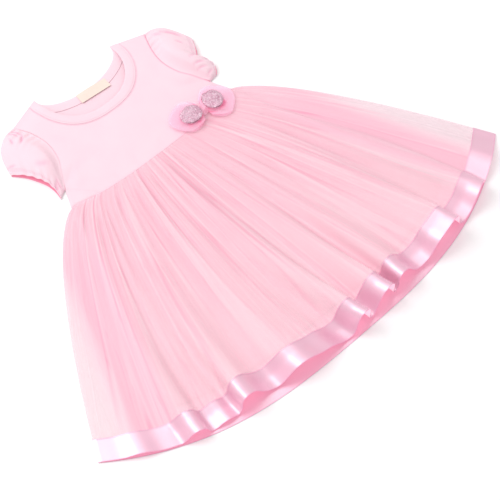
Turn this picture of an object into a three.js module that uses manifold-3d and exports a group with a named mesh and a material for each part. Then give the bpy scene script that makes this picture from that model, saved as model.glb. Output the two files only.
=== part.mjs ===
// A toddler's party dress laid flat on its back, face up: a jersey bodice with puffed cap sleeves,
// a gathered tulle skirt over a plain lining, a satin ribbon on the hem and a bow at the waist.
// Millimetres. +Z is up, +Y runs from the hem to the neck, and X runs across the dress.
// The origin is on the surface that the dress lies on, under the middle of the waist seam.
import * as THREE from "three";
import { mergeVertices } from "three/addons/utils/BufferGeometryUtils.js";
import Module from "manifold-3d";

const wasm = await Module();
wasm.setup();

// Driving dimensions
const CLOTH = 1.0; // wall of every cloth
const SEAM = 0.3; // gap between two pieces that are sewn together
const LAYER = CLOTH + SEAM; // step from one layer of cloth to the next

const WAIST_HALF = 130; // half of the flat waist
const WAIST_DIP = 15; // how far the waist seam sinks in the middle
const WAIST_RISE = 70; // distance above the waist over which the bodice lofts
const SIDE_SEAM_TOP = { x: 119, y: 24 }; // underarm
const SHOULDER = { x: 107, y: 137 }; // where the shoulder seam meets the sleeve
const NECK_EDGE = { halfWidth: 62, top: 152, frontDepth: 66, backDepth: 31, power: 2.3 };
const BINDING = 13; // width of the neck binding
const BINDING_LAYERS = { back: 1.3, front: 1.4, step: 0.4 }; // its folded cloth, and its step up
const BODICE_LOFT = { waist: 2.0, chest: 3.1, drag: 0.4 }; // how far the front bodice rises off its seams

const SKIRT_LENGTH = 345;
const HEM_HALF = 322; // half of the flat hem
const HEM_RISE = 86; // how much higher the hem lies at its sides than in its middle
const FLARE_POWER = 0.8; // above 0 and below 1 the skirt widens fastest at the waist
const HEM_POWER = 2.9;
const SIDE_POWER = 1.1; // above 1 the sides of the skirt run out more steeply at the waist
const RIBBON = 29; // width of the hem ribbon
const GATHERS = 34; // small gathers along the front waist seam
const GATHER_TURN = 42; // steepest angle of a gather, in degrees
const GATHER_FADE = 1.6; // power by which the gathers fade towards the hem
// The gathers bunch unevenly: shift is in gathers, and there are this many bunches across the skirt.
const GATHER_BUNCHES = [
  { shift: 0.3, count: 5, turn: 0 },
  { shift: 0.16, count: 11, turn: 1 },
];
const WAVE_GROWTH = 1.25; // power by which the waves grow towards it

const LINING_HALF = { waist: 124, spread: 112 };
const LINING_SHARE = 0.86; // length of the lining as a share of the skirt's

// Ruffle waves of the front hem, from the viewer's left. Width is measured across the flat hem. rise and
// fall are the steepest angles of the cloth on a wave's left and right sides, in degrees: past 90 it leans
// over itself. lift is how much higher up the dress the front hem lies there than the back one.
const HEM_WAVES = [
  { width: 80, rise: 12, fall: 14, lift: 0 },
  { width: 40, rise: 64, fall: 60, lift: 3 },
  { width: 32, rise: 16, fall: 22, lift: 7 },
  { width: 58, rise: 90, fall: 50, lift: 14 },
  { width: 106, rise: 60, fall: 27, lift: 7 },
  { width: 35, rise: 94, fall: 92, lift: 4 },
  { width: 41, rise: 74, fall: 90, lift: 9 },
  { width: 46, rise: 86, fall: 66, lift: 11 },
  { width: 84, rise: 46, fall: 82, lift: 7 },
  { width: 62, rise: 38, fall: 80, lift: -1 },
  { width: 60, rise: 26, fall: 28, lift: -3 },
];
const CREST_POWER = 0.78; // below 1 the crests of the waves are rounder than their troughs
const WIDTHS = [3, 2, 3, 3]; // waves in each width of the front skirt, from the viewer's left
const MOST_LIFT = Math.max(...HEM_WAVES.map((wave) => wave.lift));

// The bow lies on the waist seam, with its knot here.
const BOW = { x: 79, y: -7, turn: -9 };
const BOW_PRESS = { reach: 66, share: 0.96 }; // the bow holds the cloth under it down

const PINK_JERSEY = 0xfbdde9;
const PINK_TULLE = 0xf9c4d4;
const PINK_LINING = 0xfbb9c8;
const PINK_SATIN = 0xf0b8d4;
const PINK_ORGANZA = 0xf9a9d2;
const SILVER_GLITTER = 0xd8b0c4;
const CREAM = 0xfbeedd;

const clamp01 = (x) => Math.min(1, Math.max(0, x));
const smooth = (x) => THREE.MathUtils.smoothstep(x, 0, 1);
const mix = THREE.MathUtils.lerp;
const radians = THREE.MathUtils.degToRad;

// Building closed solids

function asSolid(geometry) {
  const bare = geometry.clone();
  bare.deleteAttribute("normal");
  bare.deleteAttribute("uv");
  const merged = mergeVertices(bare, 1e-3);
  return new wasm.Manifold(
    new wasm.Mesh({
      numProp: 3,
      vertProperties: merged.attributes.position.array,
      triVerts: new Uint32Array(merged.index.array),
    }),
  );
}

function asGeometry(solid) {
  const mesh = solid.getMesh();
  const geometry = new THREE.BufferGeometry();
  geometry.setAttribute("position", new THREE.BufferAttribute(mesh.vertProperties, 3));
  geometry.setIndex(new THREE.BufferAttribute(mesh.triVerts, 1));
  return geometry;
}

// Moves every vertex of a geometry to place(x, y, z), merges the doubles and turns the faces out.
function reshaped(source, place) {
  const bare = source.clone();
  bare.deleteAttribute("normal");
  bare.deleteAttribute("uv");
  const geometry = mergeVertices(bare, 1e-4);
  const position = geometry.attributes.position;
  for (let i = 0; i < position.count; i++) {
    const p = place(position.getX(i), position.getY(i), position.getZ(i));
    position.setXYZ(i, p.x, p.y, p.z);
  }
  if (signedVolume(geometry) < 0) geometry.index.array.reverse();
  return geometry;
}

function signedVolume(geometry) {
  const position = geometry.attributes.position;
  const corner = [0, 1, 2].map(() => new THREE.Vector3());
  let sum = 0;
  for (let i = 0; i < geometry.index.count; i += 3) {
    corner.forEach((c, k) => c.fromBufferAttribute(position, geometry.index.getX(i + k)));
    sum += corner[0].dot(corner[1].clone().cross(corner[2]));
  }
  return sum / 6;
}

// A flat panel of cloth with this outline, lying at height z.
function flatPanel(outline, z, thickness = CLOTH) {
  const shape = new THREE.Shape(outline.map((p) => new THREE.Vector2(p.x, p.y)));
  const geometry = new THREE.ExtrudeGeometry(shape, { depth: thickness, bevelEnabled: false });
  return geometry.translate(0, 0, z);
}

const TRIM_REACH = 30; // more than any panel's height

const CELL = { bodice: 12, binding: 9 }; // spacing of the vertices in a bent panel

// A panel with this outline whose upper face follows height(x, y): a gridded slab, bent and then trimmed.
function bentPanel(outline, height, { cell, thickness = CLOTH }) {
  const box = new THREE.Box2().setFromPoints(outline.map((p) => new THREE.Vector2(p.x, p.y)));
  const size = box.getSize(new THREE.Vector2()).addScalar(4);
  const middle = box.getCenter(new THREE.Vector2());
  const columns = Math.round(size.x / cell);
  const rows = Math.round(size.y / cell);
  const slab = new THREE.BoxGeometry(size.x, size.y, thickness, columns, rows, 1);
  slab.translate(middle.x, middle.y, -thickness / 2);
  const bent = reshaped(slab, (x, y, z) => new THREE.Vector3(x, y, z + height(x, y)));
  const trim = flatPanel(outline, -TRIM_REACH, 2 * TRIM_REACH);
  return asGeometry(asSolid(bent).intersect(asSolid(trim)));
}

// A wall of cloth over surface(u, v), with u and v from 0 to 1. Its thickness lies below the surface, in
// the upright plane of rowDirection(p, v), so that the wall's ends stay on its seams. stations holds the
// values of v where the rows of vertices lie.
function wall(surface, rowDirection, columns, stations, thickness = CLOTH) {
  const rows = stations.length - 1;
  const slab = new THREE.BoxGeometry(columns, rows, 1, columns, rows, 1);
  slab.translate(columns / 2, rows / 2, -0.5);
  const step = 1e-3;
  return reshaped(slab, (x, y, z) => {
    const u = x / columns;
    const v = stations[Math.round(y)];
    const p = surface(u, v);
    if (z > -0.5) return p;
    const along = surface(Math.min(1, u + step), v).sub(surface(Math.max(0, u - step), v));
    const row = rowDirection(p, v);
    const normal = row.clone().multiplyScalar(-along.z).setZ(along.dot(row)).normalize();
    return p.addScaledVector(normal, -thickness);
  });
}

// A tube of cloth open at both ends: outside(turn, s) and inside(turn, s) give its two faces, with turn
// and s from 0 to 1.
function tube(outside, inside, around, along) {
  const profile = [];
  for (let i = 0; i <= along; i++) profile.push(new THREE.Vector2(2, i / along));
  for (let i = along; i >= 0; i--) profile.push(new THREE.Vector2(1, i / along));
  profile.push(profile[0].clone());
  const ring = new THREE.LatheGeometry(profile, around);
  return reshaped(ring, (x, y, z) => {
    const turn = (Math.atan2(x, z) / (2 * Math.PI) + 1) % 1;
    const face = Math.hypot(x, z) > 1.5 ? outside : inside;
    return face(Math.round(turn * around) % around / around, y);
  });
}

// Outlines

// Half of a neckline, from its top on the viewer's right down to the middle.
function necklineHalf(halfWidth, top, depth, power, steps) {
  const points = [];
  for (let i = 0; i <= steps; i++) {
    const turn = (i / steps) * (Math.PI / 2);
    const x = halfWidth * Math.cos(turn) ** (2 / power);
    const y = top - depth * Math.sin(turn) ** (2 / power);
    points.push({ x, y });
  }
  return points;
}

// The same half and its mirror image, as one run from the right shoulder to the left one.
function neckline(halfWidth, top, depth, power, steps = 12) {
  const right = necklineHalf(halfWidth, top, depth, power, steps);
  const left = right.slice(0, -1).reverse().map((p) => ({ x: -p.x, y: p.y }));
  return [...right, ...left];
}

const SHOULDER_SLOPE = (NECK_EDGE.top - SHOULDER.y) / (SHOULDER.x - NECK_EDGE.halfWidth);
const shoulderLine = (x) => NECK_EDGE.top - (Math.abs(x) - NECK_EDGE.halfWidth) * SHOULDER_SLOPE;
const BINDING_TOP = 0.85; // share of the binding's width that it keeps at the shoulder
const SEAM_HALF = NECK_EDGE.halfWidth + BINDING * BINDING_TOP; // half width of the binding's seam
const SEAM_TOP = shoulderLine(SEAM_HALF);
const FRONT_NECK_LOW = NECK_EDGE.top - NECK_EDGE.frontDepth;
const BACK_NECK_LOW = NECK_EDGE.top - NECK_EDGE.backDepth;

const frontSeam = (gap = 0) =>
  neckline(SEAM_HALF + gap, SEAM_TOP, SEAM_TOP - FRONT_NECK_LOW + BINDING + gap, NECK_EDGE.power);
const backSeam = (gap = 0) =>
  neckline(SEAM_HALF + gap, SEAM_TOP, SEAM_TOP - BACK_NECK_LOW + BINDING + gap, 2);
const frontEdge = () =>
  neckline(NECK_EDGE.halfWidth, NECK_EDGE.top, NECK_EDGE.frontDepth, NECK_EDGE.power);
const backEdge = () => neckline(NECK_EDGE.halfWidth, NECK_EDGE.top, NECK_EDGE.backDepth, 2);

// The armhole seam on the viewer's right, from the shoulder down to the underarm.
const armhole = new THREE.SplineCurve([
  new THREE.Vector2(SHOULDER.x, SHOULDER.y),
  new THREE.Vector2(97, 113),
  new THREE.Vector2(92.5, 88),
  new THREE.Vector2(97, 63),
  new THREE.Vector2(108, 43),
  new THREE.Vector2(SIDE_SEAM_TOP.x, SIDE_SEAM_TOP.y),
]);
const ARMHOLE_STEPS = 14;
const WAIST_STEPS = 24;

// The waist seam's y at x.
const waistSeam = (x) => -WAIST_DIP + (WAIST_DIP - 1) * Math.abs(x / WAIST_HALF) ** HEM_POWER;

// Outline of a bodice panel below its neck seam, counterclockwise from the left end of the waist.
function bodiceOutline(neckSeam) {
  const waist = [];
  for (let i = 0; i <= WAIST_STEPS; i++) {
    const x = mix(-WAIST_HALF, WAIST_HALF, i / WAIST_STEPS);
    waist.push({ x, y: waistSeam(x) });
  }
  const right = [];
  for (let i = ARMHOLE_STEPS; i >= 0; i--) {
    const p = armhole.getPoint(i / ARMHOLE_STEPS);
    right.push({ x: p.x, y: p.y });
  }
  const left = right.map((p) => ({ x: -p.x, y: p.y })).reverse();
  return [...waist, ...right, ...neckSeam, ...left];
}

// Outline of the neck binding between its seam and the neck's edge.
function bindingOutline(seamRun, edgeRun) {
  return [...seamRun.reverse(), ...edgeRun];
}

// Bodice heights

const SIDE_SLOPE = (WAIST_HALF - SIDE_SEAM_TOP.x) / SIDE_SEAM_TOP.y;
const EASE = 24; // distance over which the front rises from a sewn edge
const DRAG_LINE = { across: 17, along: 29 }; // spacing of the drag lines, per radian

// How free the front is to rise: 0 along a side seam or shoulder seam, 1 well away from both.
function freedom(x, y) {
  const sideX = WAIST_HALF - SIDE_SLOPE * Math.max(0, y);
  const armholeOpen = smooth(clamp01((y - SIDE_SEAM_TOP.y) / EASE));
  const fromSide = Math.max(smooth(clamp01((sideX - Math.abs(x)) / EASE)), armholeOpen);
  const nearShoulder = Math.max(Math.abs(x), NECK_EDGE.halfWidth);
  const fromShoulder = smooth(clamp01((shoulderLine(nearShoulder) - y) / EASE));
  return fromSide * fromShoulder;
}

// Upper face of the front bodice. Soft drag lines run down from the shoulders and in from the underarms.
function bodiceTop(x, y) {
  const aboveWaist = smooth(clamp01((y + WAIST_DIP) / WAIST_RISE));
  const line = Math.sin(Math.abs(x) / DRAG_LINE.across + y / DRAG_LINE.along);
  const drag = BODICE_LOFT.drag * line * aboveWaist;
  return LAYER + CLOTH + freedom(x, y) * (mix(BODICE_LOFT.waist, BODICE_LOFT.chest, aboveWaist) + drag);
}

// Sleeves

// Plan curves of each sleeve, written for the viewer's right: crown runs from the shoulder to the hem's
// outer corner, and hem from there to its lower corner. The two sleeves lie a little differently.
const SLEEVES = {
  left: {
    side: -1,
    crown: [[107.5, 137], [122, 135], [138, 124], [148, 107], [154, 84]],
    hem: [[154, 84], [143, 71], [135, 56], [130, 42], [129, 28], [131, 17]],
    rise: 19,
  },
  right: {
    side: 1,
    crown: [[107.5, 137], [119, 136], [131, 128], [140, 111], [147, 91]],
    hem: [[147, 91], [139, 75], [130, 60], [136, 50], [138, 38], [131, 26]],
    rise: 21,
  },
};
const SLEEVE_EDGE = 3.4; // height of the folded edge of a flattened sleeve
const SLEEVE_STEPS = { front: 20, back: 12, along: 8 };
const SLEEVE_LIP = 0.35; // share of the sleeve over which it rises from the armhole
const SLEEVE_HEM_RISE = 0.25; // share of the sleeve's rise that its hem keeps
const SLEEVE_SLOPE = 1.15; // a wall's height over its thickness where it slopes
const SLEEVE_CLEAR = 0.33; // how far it keeps off the armhole's slanting seam
const SLEEVE_ARCH = 0.75; // power of its half round across, fuller below 1
const SLEEVE_SWELL = { from: 0.06, to: 0.92, power: 0.9 }; // part of a half round that it follows along

// Gathers at the sleeve's cap, round this share of the way from the shoulder to the underarm. They begin
// over start and fade out by end, as shares of the way to the hem.
const CAP_GATHERS = { count: 5, at: 0.16, spread: 0.14, width: 0.36, height: 1.5, start: 0.08, end: 0.6 };
// Gathers of the elastic in the sleeve's hem, from this share of the way to the hem.
const ELASTIC_GATHERS = { count: 7, from: 0.62, height: 1.1 };

const planCurve = (points) => new THREE.SplineCurve(points.map(([x, y]) => new THREE.Vector2(x, y)));

function capGathers(along, across) {
  const { count, at, spread, width, height, start, end } = CAP_GATHERS;
  const near = Math.exp(-(((across - at) / spread) ** 2)) * smooth(clamp01(along / start));
  const fade = smooth(clamp01((end - along) / end));
  return height * Math.sin((across / width) * count * 2 * Math.PI) * near * fade;
}

function elasticGathers(along, across) {
  const { count, from, height } = ELASTIC_GATHERS;
  const near = smooth(clamp01((along - from) / (1 - from)));
  return height * Math.sin(across * count * 2 * Math.PI) * near;
}

function sleeveGeometry({ side, crown, hem, rise }) {
  const crownCurve = planCurve(crown);
  const hemCurve = planCurve(hem);
  const hemEnd = hemCurve.getPoint(1);
  const armEnd = armhole.getPoint(1);
  const around = SLEEVE_STEPS.front + SLEEVE_STEPS.back;

  // Coons patch: across runs from the crown to the underarm, along from the armhole to the hem.
  function plan(along, across) {
    const a = armhole.getPoint(across);
    const h = hemCurve.getPoint(across);
    const c = crownCurve.getPoint(along);
    const u = armEnd.clone().lerp(hemEnd, along);
    const between = a.clone().lerp(h, along).add(c.clone().lerp(u, across));
    const cornerA = armhole.getPoint(0).lerp(armEnd, across);
    const cornerH = hemCurve.getPoint(0).lerp(hemEnd, across);
    const p = between.sub(cornerA.lerp(cornerH, along));
    return new THREE.Vector2(p.x + SLEEVE_CLEAR * (1 - along), p.y);
  }

  function frontTop(along, across) {
    const arch = Math.sin(Math.PI * clamp01(across)) ** SLEEVE_ARCH;
    const a = armhole.getPoint(across);
    const atArmhole = Math.max(bodiceTop(a.x, a.y), SLEEVE_EDGE);
    const halfRound = Math.sin(Math.PI * mix(SLEEVE_SWELL.from, SLEEVE_SWELL.to, along));
    const swell = halfRound ** SLEEVE_SWELL.power;
    const puffed = SLEEVE_EDGE + rise * arch * mix(SLEEVE_HEM_RISE, 1, swell);
    const z = mix(atArmhole, puffed, smooth(clamp01(along / SLEEVE_LIP)));
    return z + capGathers(along, across) + elasticGathers(along, across) * arch;
  }

  // turn runs along the front from the crown to the underarm, and back along the floor.
  function ringPoint(turn, along, inset) {
    const step = turn * around;
    const onFront = step <= SLEEVE_STEPS.front;
    const raw = onFront ? step / SLEEVE_STEPS.front : (around - step) / SLEEVE_STEPS.back;
    const across = mix(inset / 100, 1 - inset / 100, raw);
    const p = plan(along, across);
    const z = onFront ? frontTop(along, across) - inset * SLEEVE_SLOPE : inset;
    return new THREE.Vector3(side * p.x, p.y, z);
  }

  return tube(
    (turn, along) => ringPoint(turn, along, 0),
    (turn, along) => ringPoint(turn, along, CLOTH * SLEEVE_SLOPE),
    around,
    SLEEVE_STEPS.along,
  );
}

// Skirt

const skirtHalf = (v) => WAIST_HALF + (HEM_HALF - WAIST_HALF) * v ** FLARE_POWER;
const skirtSideY = (v) => -1 - (SKIRT_LENGTH - HEM_RISE + WAIST_DIP) * v ** SIDE_POWER;

// The middle of each hem wave, as its share across the skirt from -1 to 1, with its lift.
let edgeX = -HEM_HALF;
const waveMiddles = HEM_WAVES.map(({ width, lift }) => {
  edgeX += width;
  return { share: (edgeX - width / 2) / HEM_HALF, lift };
});

// How much higher the front hem lies than the back one, at this share across the skirt.
function frontLift(share) {
  const next = waveMiddles.findIndex((middle) => middle.share > share);
  if (next === 0) return waveMiddles[0].lift;
  if (next < 0) return waveMiddles[waveMiddles.length - 1].lift;
  const before = waveMiddles[next - 1];
  const after = waveMiddles[next];
  return mix(before.lift, after.lift, smooth((share - before.share) / (after.share - before.share)));
}
const noLift = () => 0;

// Plan position at x across the skirt, v down it from 0 at the waist to 1 at the hem.
function skirtPlan(x, v, liftAt = noLift) {
  const middleY = -WAIST_DIP - (SKIRT_LENGTH - liftAt(x / skirtHalf(v))) * v;
  const y = middleY + (skirtSideY(v) - middleY) * Math.abs(x / skirtHalf(v)) ** HEM_POWER;
  return new THREE.Vector2(x, y - SEAM);
}

// Outline of a flat skirt layer from v0 to v1, counterclockwise from its lower left corner.
function skirtOutline(v0, v1, halfAt) {
  const acrossSteps = 40;
  const downSteps = 12;
  const row = (v) => {
    const points = [];
    for (let i = 0; i <= acrossSteps; i++) {
      points.push(skirtPlan(mix(-1, 1, i / acrossSteps) * halfAt(v), v));
    }
    return points;
  };
  const side = (sign) => {
    const points = [];
    for (let i = 1; i < downSteps; i++) {
      const v = mix(v1, v0, i / downSteps);
      points.push(skirtPlan(sign * halfAt(v), v));
    }
    return points;
  };
  return [...row(v1), ...side(1), ...row(v0).reverse(), ...side(-1).reverse()];
}

const liningHalf = (v) => LINING_HALF.waist + LINING_HALF.spread * v;
const RIBBON_START = 1 - RIBBON / SKIRT_LENGTH;
const SEAM_V = SEAM / SKIRT_LENGTH;

// Angle of the cloth along one side of a wave, as a share of its steepest angle. s runs from the trough to
// the crest.
const sideAngle = (s) => Math.sin(Math.PI * s ** CREST_POWER);

// Mean of part (Math.cos or Math.sin) of the cloth's angle along a side of this steepest angle.
const FINE = 60; // steps in a side when it is measured
function sideMean(part, steepest) {
  let sum = 0;
  for (let i = 0; i < FINE; i++) sum += part(radians(steepest) * sideAngle((i + 0.5) / FINE));
  return sum / FINE;
}

// Shares of the cloth's width that the waves take. A wave's crest is where its two sides come to one height.
const measured = HEM_WAVES.map(({ width, rise, fall }) => {
  const crest = sideMean(Math.sin, fall) / (sideMean(Math.sin, rise) + sideMean(Math.sin, fall));
  const flatShare = crest * sideMean(Math.cos, rise) + (1 - crest) * sideMean(Math.cos, fall);
  return { cloth: width / flatShare, crest, rise: radians(rise), fall: radians(fall) };
});
const clothWidth = measured.reduce((sum, wave) => sum + wave.cloth, 0);
let waveStart = 0;
const WAVES = measured.map((wave) => {
  const start = waveStart;
  waveStart += wave.cloth / clothWidth;
  return { ...wave, start, end: waveStart };
});

// 0 on a side seam and 1 away from both, at this share across.
const SIDE_SHARE = 0.02;
const atSides = (share) => smooth(clamp01(Math.min(share, 1 - share) / SIDE_SHARE));

// Angle of the cloth at q across it, from 0 to 1, and v down it. Waves grow towards the hem, gathers fade.
function clothAngle(q, v) {
  const { start, end, crest, rise, fall } = WAVES.find((w) => q <= w.end) ?? WAVES[WAVES.length - 1];
  const along = (q - start) / (end - start);
  const rising = along < crest;
  const angle = rising ? rise * sideAngle(along / crest) : -fall * sideAngle((1 - along) / (1 - crest));
  let gathered = GATHERS * q;
  for (const { shift, count, turn } of GATHER_BUNCHES) gathered += shift * Math.sin(2 * Math.PI * count * q + turn);
  const gather = Math.sin(2 * Math.PI * gathered);
  const fade = atSides(q) * (1 - v) ** GATHER_FADE;
  return angle * v ** WAVE_GROWTH + radians(GATHER_TURN) * gather * fade;
}

// The cloth's line across the skirt at v, summed from its angle: how far across, 0 to 1, and how high.
const LINE_STEPS = 2720;
const lines = new Map();
function clothLine(v) {
  if (lines.has(v)) return lines.get(v);
  const across = [0];
  const height = [0];
  for (let i = 0; i < LINE_STEPS; i++) {
    const angle = clothAngle((i + 0.5) / LINE_STEPS, v);
    across.push(across[i] + Math.cos(angle));
    height.push(height[i] + Math.sin(angle));
  }
  const total = across[LINE_STEPS];
  const drift = height[LINE_STEPS] / LINE_STEPS;
  const widthAt = 2 * skirtHalf(v);
  const line = across.map((a, i) => ({
    across: a / total,
    height: ((height[i] - drift * i) / total) * widthAt,
  }));
  const lowest = Math.min(...line.map((p) => p.height));
  line.forEach((p) => (p.height -= lowest));
  lines.set(v, line);
  return line;
}

// How the tulle comes down past the lining: clear of its side, over a width at the waist and at the hem,
// and below its hem past a margin and over a length, both as shares of the skirt's.
const LINING_STEP = { clear: 2.5, waist: 5, hem: 16, margin: 0.004, down: 0.06 };

// The front tulle passes the lining's hem here, a little further down because it lies a little higher.
const LINING_END = (LINING_SHARE * SKIRT_LENGTH) / (SKIRT_LENGTH - MOST_LIFT) + LINING_STEP.margin;

// Lowest height of the front tulle's upper face: it lies on the back layer, or on the lining where that is.
function tulleFloor(x, v) {
  const from = liningHalf(v) + LINING_STEP.clear;
  const to = Math.min(skirtHalf(v), from + mix(LINING_STEP.waist, LINING_STEP.hem, v));
  const overLining = smooth(clamp01((to - Math.abs(x)) / (to - from)));
  const beforeHem = smooth(clamp01((LINING_END + LINING_STEP.down - v) / LINING_STEP.down));
  return LAYER + CLOTH + 2 * LAYER * overLining * beforeHem;
}

function bowPress(x, y) {
  const far = Math.hypot(x - BOW.x, y - BOW.y) / BOW_PRESS.reach;
  return 1 - BOW_PRESS.share * Math.exp(-(far ** 4));
}

// Upper face of the front tulle at q across the cloth and v down it.
function tulleFront(q, v) {
  const exact = q * LINE_STEPS;
  const line = clothLine(v);
  const low = Math.min(LINE_STEPS - 1, Math.floor(exact));
  const across = mix(line[low].across, line[low + 1].across, exact - low);
  const height = mix(line[low].height, line[low + 1].height, exact - low);
  const plan = skirtPlan((2 * across - 1) * skirtHalf(v), v, frontLift);
  const lift = height * atSides(across) * bowPress(plan.x, plan.y);
  return new THREE.Vector3(plan.x, plan.y, tulleFloor(plan.x, v) + lift);
}

// The widths of the front skirt, as shares of its cloth. They meet in troughs, where the cloth lies on the
// layer below.
let firstWave = 0;
const SKIRT_WIDTHS = WIDTHS.map((count, i) => {
  const waves = WAVES.slice(firstWave, firstWave + count);
  firstWave += count;
  return { number: i + 1, start: waves[0].start, end: waves[count - 1].end };
});

// Upper face of one width at u across it. Its sewn edges keep half a seam back.
function widthFront({ start, end }, u, v) {
  const back = SEAM / 2 / (2 * skirtHalf(v));
  const from = start > 0 ? start + back : start;
  const to = end < 1 ? end - back : end;
  return tulleFront(mix(from, to, u), v);
}

// Direction of the skirt's row through p, level and towards +X.
function skirtRow(p, v) {
  const slope = (skirtPlan(p.x + 1, v, frontLift).y - skirtPlan(p.x - 1, v, frontLift).y) / 2;
  return new THREE.Vector3(1, slope, 0).normalize();
}

// Skirt rows closer together near the waist, where the gathers change fastest.
const TULLE_COLUMNS = 136;
const TULLE_ROWS = [0, 0.05, 0.12, 0.22, 0.34, 0.47, 0.6, 0.72, 0.83, LINING_END, RIBBON_START - SEAM_V];
const RIBBON_ROWS = [RIBBON_START, 0.957, 1];

// Bow

const BOW_BASE = 5.5; // height of the cloth under the bow
const KNOT = { radius: 3.2, length: 11, waist: 0.14, around: 16, along: 6 };
const WING = {
  from: KNOT.radius + SEAM,
  knotWidth: 14,
  height: 7,
  base: BOW_BASE,
  roundness: 0.3,
  crease: 0.5,
  thickness: CLOTH,
};
const GLITTER_LOOP = {
  from: KNOT.radius + SEAM,
  length: 25,
  knotWidth: 10,
  endWidth: 25,
  height: 9,
  base: BOW_BASE + WING.height + SEAM,
  roundness: 0.42,
  crease: 0,
  thickness: 1.4,
};
const BOW_SIDES = [
  { name: "left", side: -1, length: 43, endWidth: 43 },
  { name: "right", side: 1, length: 46, endWidth: 52 },
];

// Form of every loop: the power by which it widens, where its belly lies along it and how full that is, the
// power of its round end, and the share of its height that it keeps away from the belly.
const LOOP_FORM = {
  widening: 0.6,
  bellyFrom: 0.12,
  bellySpan: 0.82,
  bellyPower: 0.8,
  endPower: 0.7,
  slack: 0.5,
};
const LOOP_STEPS = { around: 22, across: 6 };

// One loop of the bow: a band that leaves the knot, turns back at its outer end and returns. It is a tube
// across the bow, narrow at the knot, and roundness shortens it towards its two edges.
function loopGeometry(loop) {
  const { side, from, length, knotWidth, endWidth, height, base, roundness, crease, thickness } = loop;
  const point = (turn, s, inset) => {
    const angle = 2 * Math.PI * turn;
    const reach = (1 - Math.cos(angle)) / 2;
    const end = from + length * (1 - roundness * (2 * s - 1) ** 2);
    const out = side * mix(from + inset, end - inset, reach);
    const across = (s - 0.5) * mix(knotWidth, endWidth, reach ** LOOP_FORM.widening);
    const bellyTurn = Math.PI * (LOOP_FORM.bellyFrom + LOOP_FORM.bellySpan * reach);
    const belly = Math.sin(bellyTurn) ** LOOP_FORM.bellyPower;
    const open = Math.abs(Math.sin(angle));
    const swell = (height / 2 - inset) * open ** LOOP_FORM.endPower * mix(LOOP_FORM.slack, 1, belly);
    const fold = crease * Math.cos(3 * Math.PI * (s - 0.5)) * (1 - reach) * open;
    const z = base + height / 2 + (Math.sin(angle) > 0 ? swell + fold : -swell);
    const turned = new THREE.Vector2(out, across).rotateAround(new THREE.Vector2(), radians(BOW.turn));
    return new THREE.Vector3(BOW.x + turned.x, BOW.y + turned.y, z);
  };
  return tube(
    (turn, s) => point(turn, s, 0),
    (turn, s) => point(turn, s, thickness),
    LOOP_STEPS.around,
    LOOP_STEPS.across,
  );
}

// The knot: a wrapped band over the middle of the bow, as a waisted barrel that reaches down to the cloth.
function knotGeometry() {
  const height = GLITTER_LOOP.base + GLITTER_LOOP.height - BOW_BASE;
  const profile = [new THREE.Vector2(0, -0.5)];
  for (let i = 0; i <= KNOT.along; i++) {
    const s = i / KNOT.along;
    const radius = 1 - KNOT.waist + KNOT.waist * Math.cos(2 * Math.PI * s);
    profile.push(new THREE.Vector2(radius, s - 0.5));
  }
  profile.push(new THREE.Vector2(0, 0.5));
  const barrel = new THREE.LatheGeometry(profile, KNOT.around);
  return reshaped(barrel, (x, y, z) => {
    const across = new THREE.Vector2(x * KNOT.radius, y * KNOT.length);
    across.rotateAround(new THREE.Vector2(), radians(BOW.turn));
    const up = BOW_BASE + height / 2 + (z * height) / 2;
    return new THREE.Vector3(BOW.x + across.x, BOW.y + across.y, up);
  });
}

// The woven label inside the back neck, turned a little with the cloth.
const LABEL = { width: 44, height: 14, x: 2, y: 113.5, turn: -4 };
function labelOutline() {
  const corners = [[-1, -1], [1, -1], [1, 1], [-1, 1]];
  return corners.map(([x, y]) =>
    new THREE.Vector2((x * LABEL.width) / 2, (y * LABEL.height) / 2)
      .rotateAround(new THREE.Vector2(), radians(LABEL.turn))
      .add(new THREE.Vector2(LABEL.x, LABEL.y)),
  );
}

// The dress

const dress = new THREE.Group();

function add(name, geometry, color, roughness) {
  const material = new THREE.MeshStandardMaterial({ color, roughness, metalness: 0 });
  const mesh = new THREE.Mesh(geometry, material);
  mesh.name = name;
  dress.add(mesh);
}

add("bodice_back", flatPanel(bodiceOutline(backSeam(SEAM)), 0), PINK_JERSEY, 0.85);
add(
  "bodice_front",
  bentPanel(bodiceOutline(frontSeam(SEAM)), bodiceTop, { cell: CELL.bodice }),
  PINK_JERSEY,
  0.85,
);
add(
  "neck_binding_back",
  flatPanel(bindingOutline(backSeam(), backEdge()), 0, BINDING_LAYERS.back),
  PINK_JERSEY,
  0.85,
);
add(
  "neck_binding_front",
  bentPanel(bindingOutline(frontSeam(), frontEdge()), (x, y) => bodiceTop(x, y) + BINDING_LAYERS.step, {
    cell: CELL.binding,
    thickness: BINDING_LAYERS.front,
  }),
  PINK_JERSEY,
  0.85,
);
add("label", flatPanel(labelOutline(), BINDING_LAYERS.back + SEAM), CREAM, 0.7);

for (const [name, sleeve] of Object.entries(SLEEVES)) {
  add(`sleeve_${name}`, sleeveGeometry(sleeve), PINK_JERSEY, 0.85);
}

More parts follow.
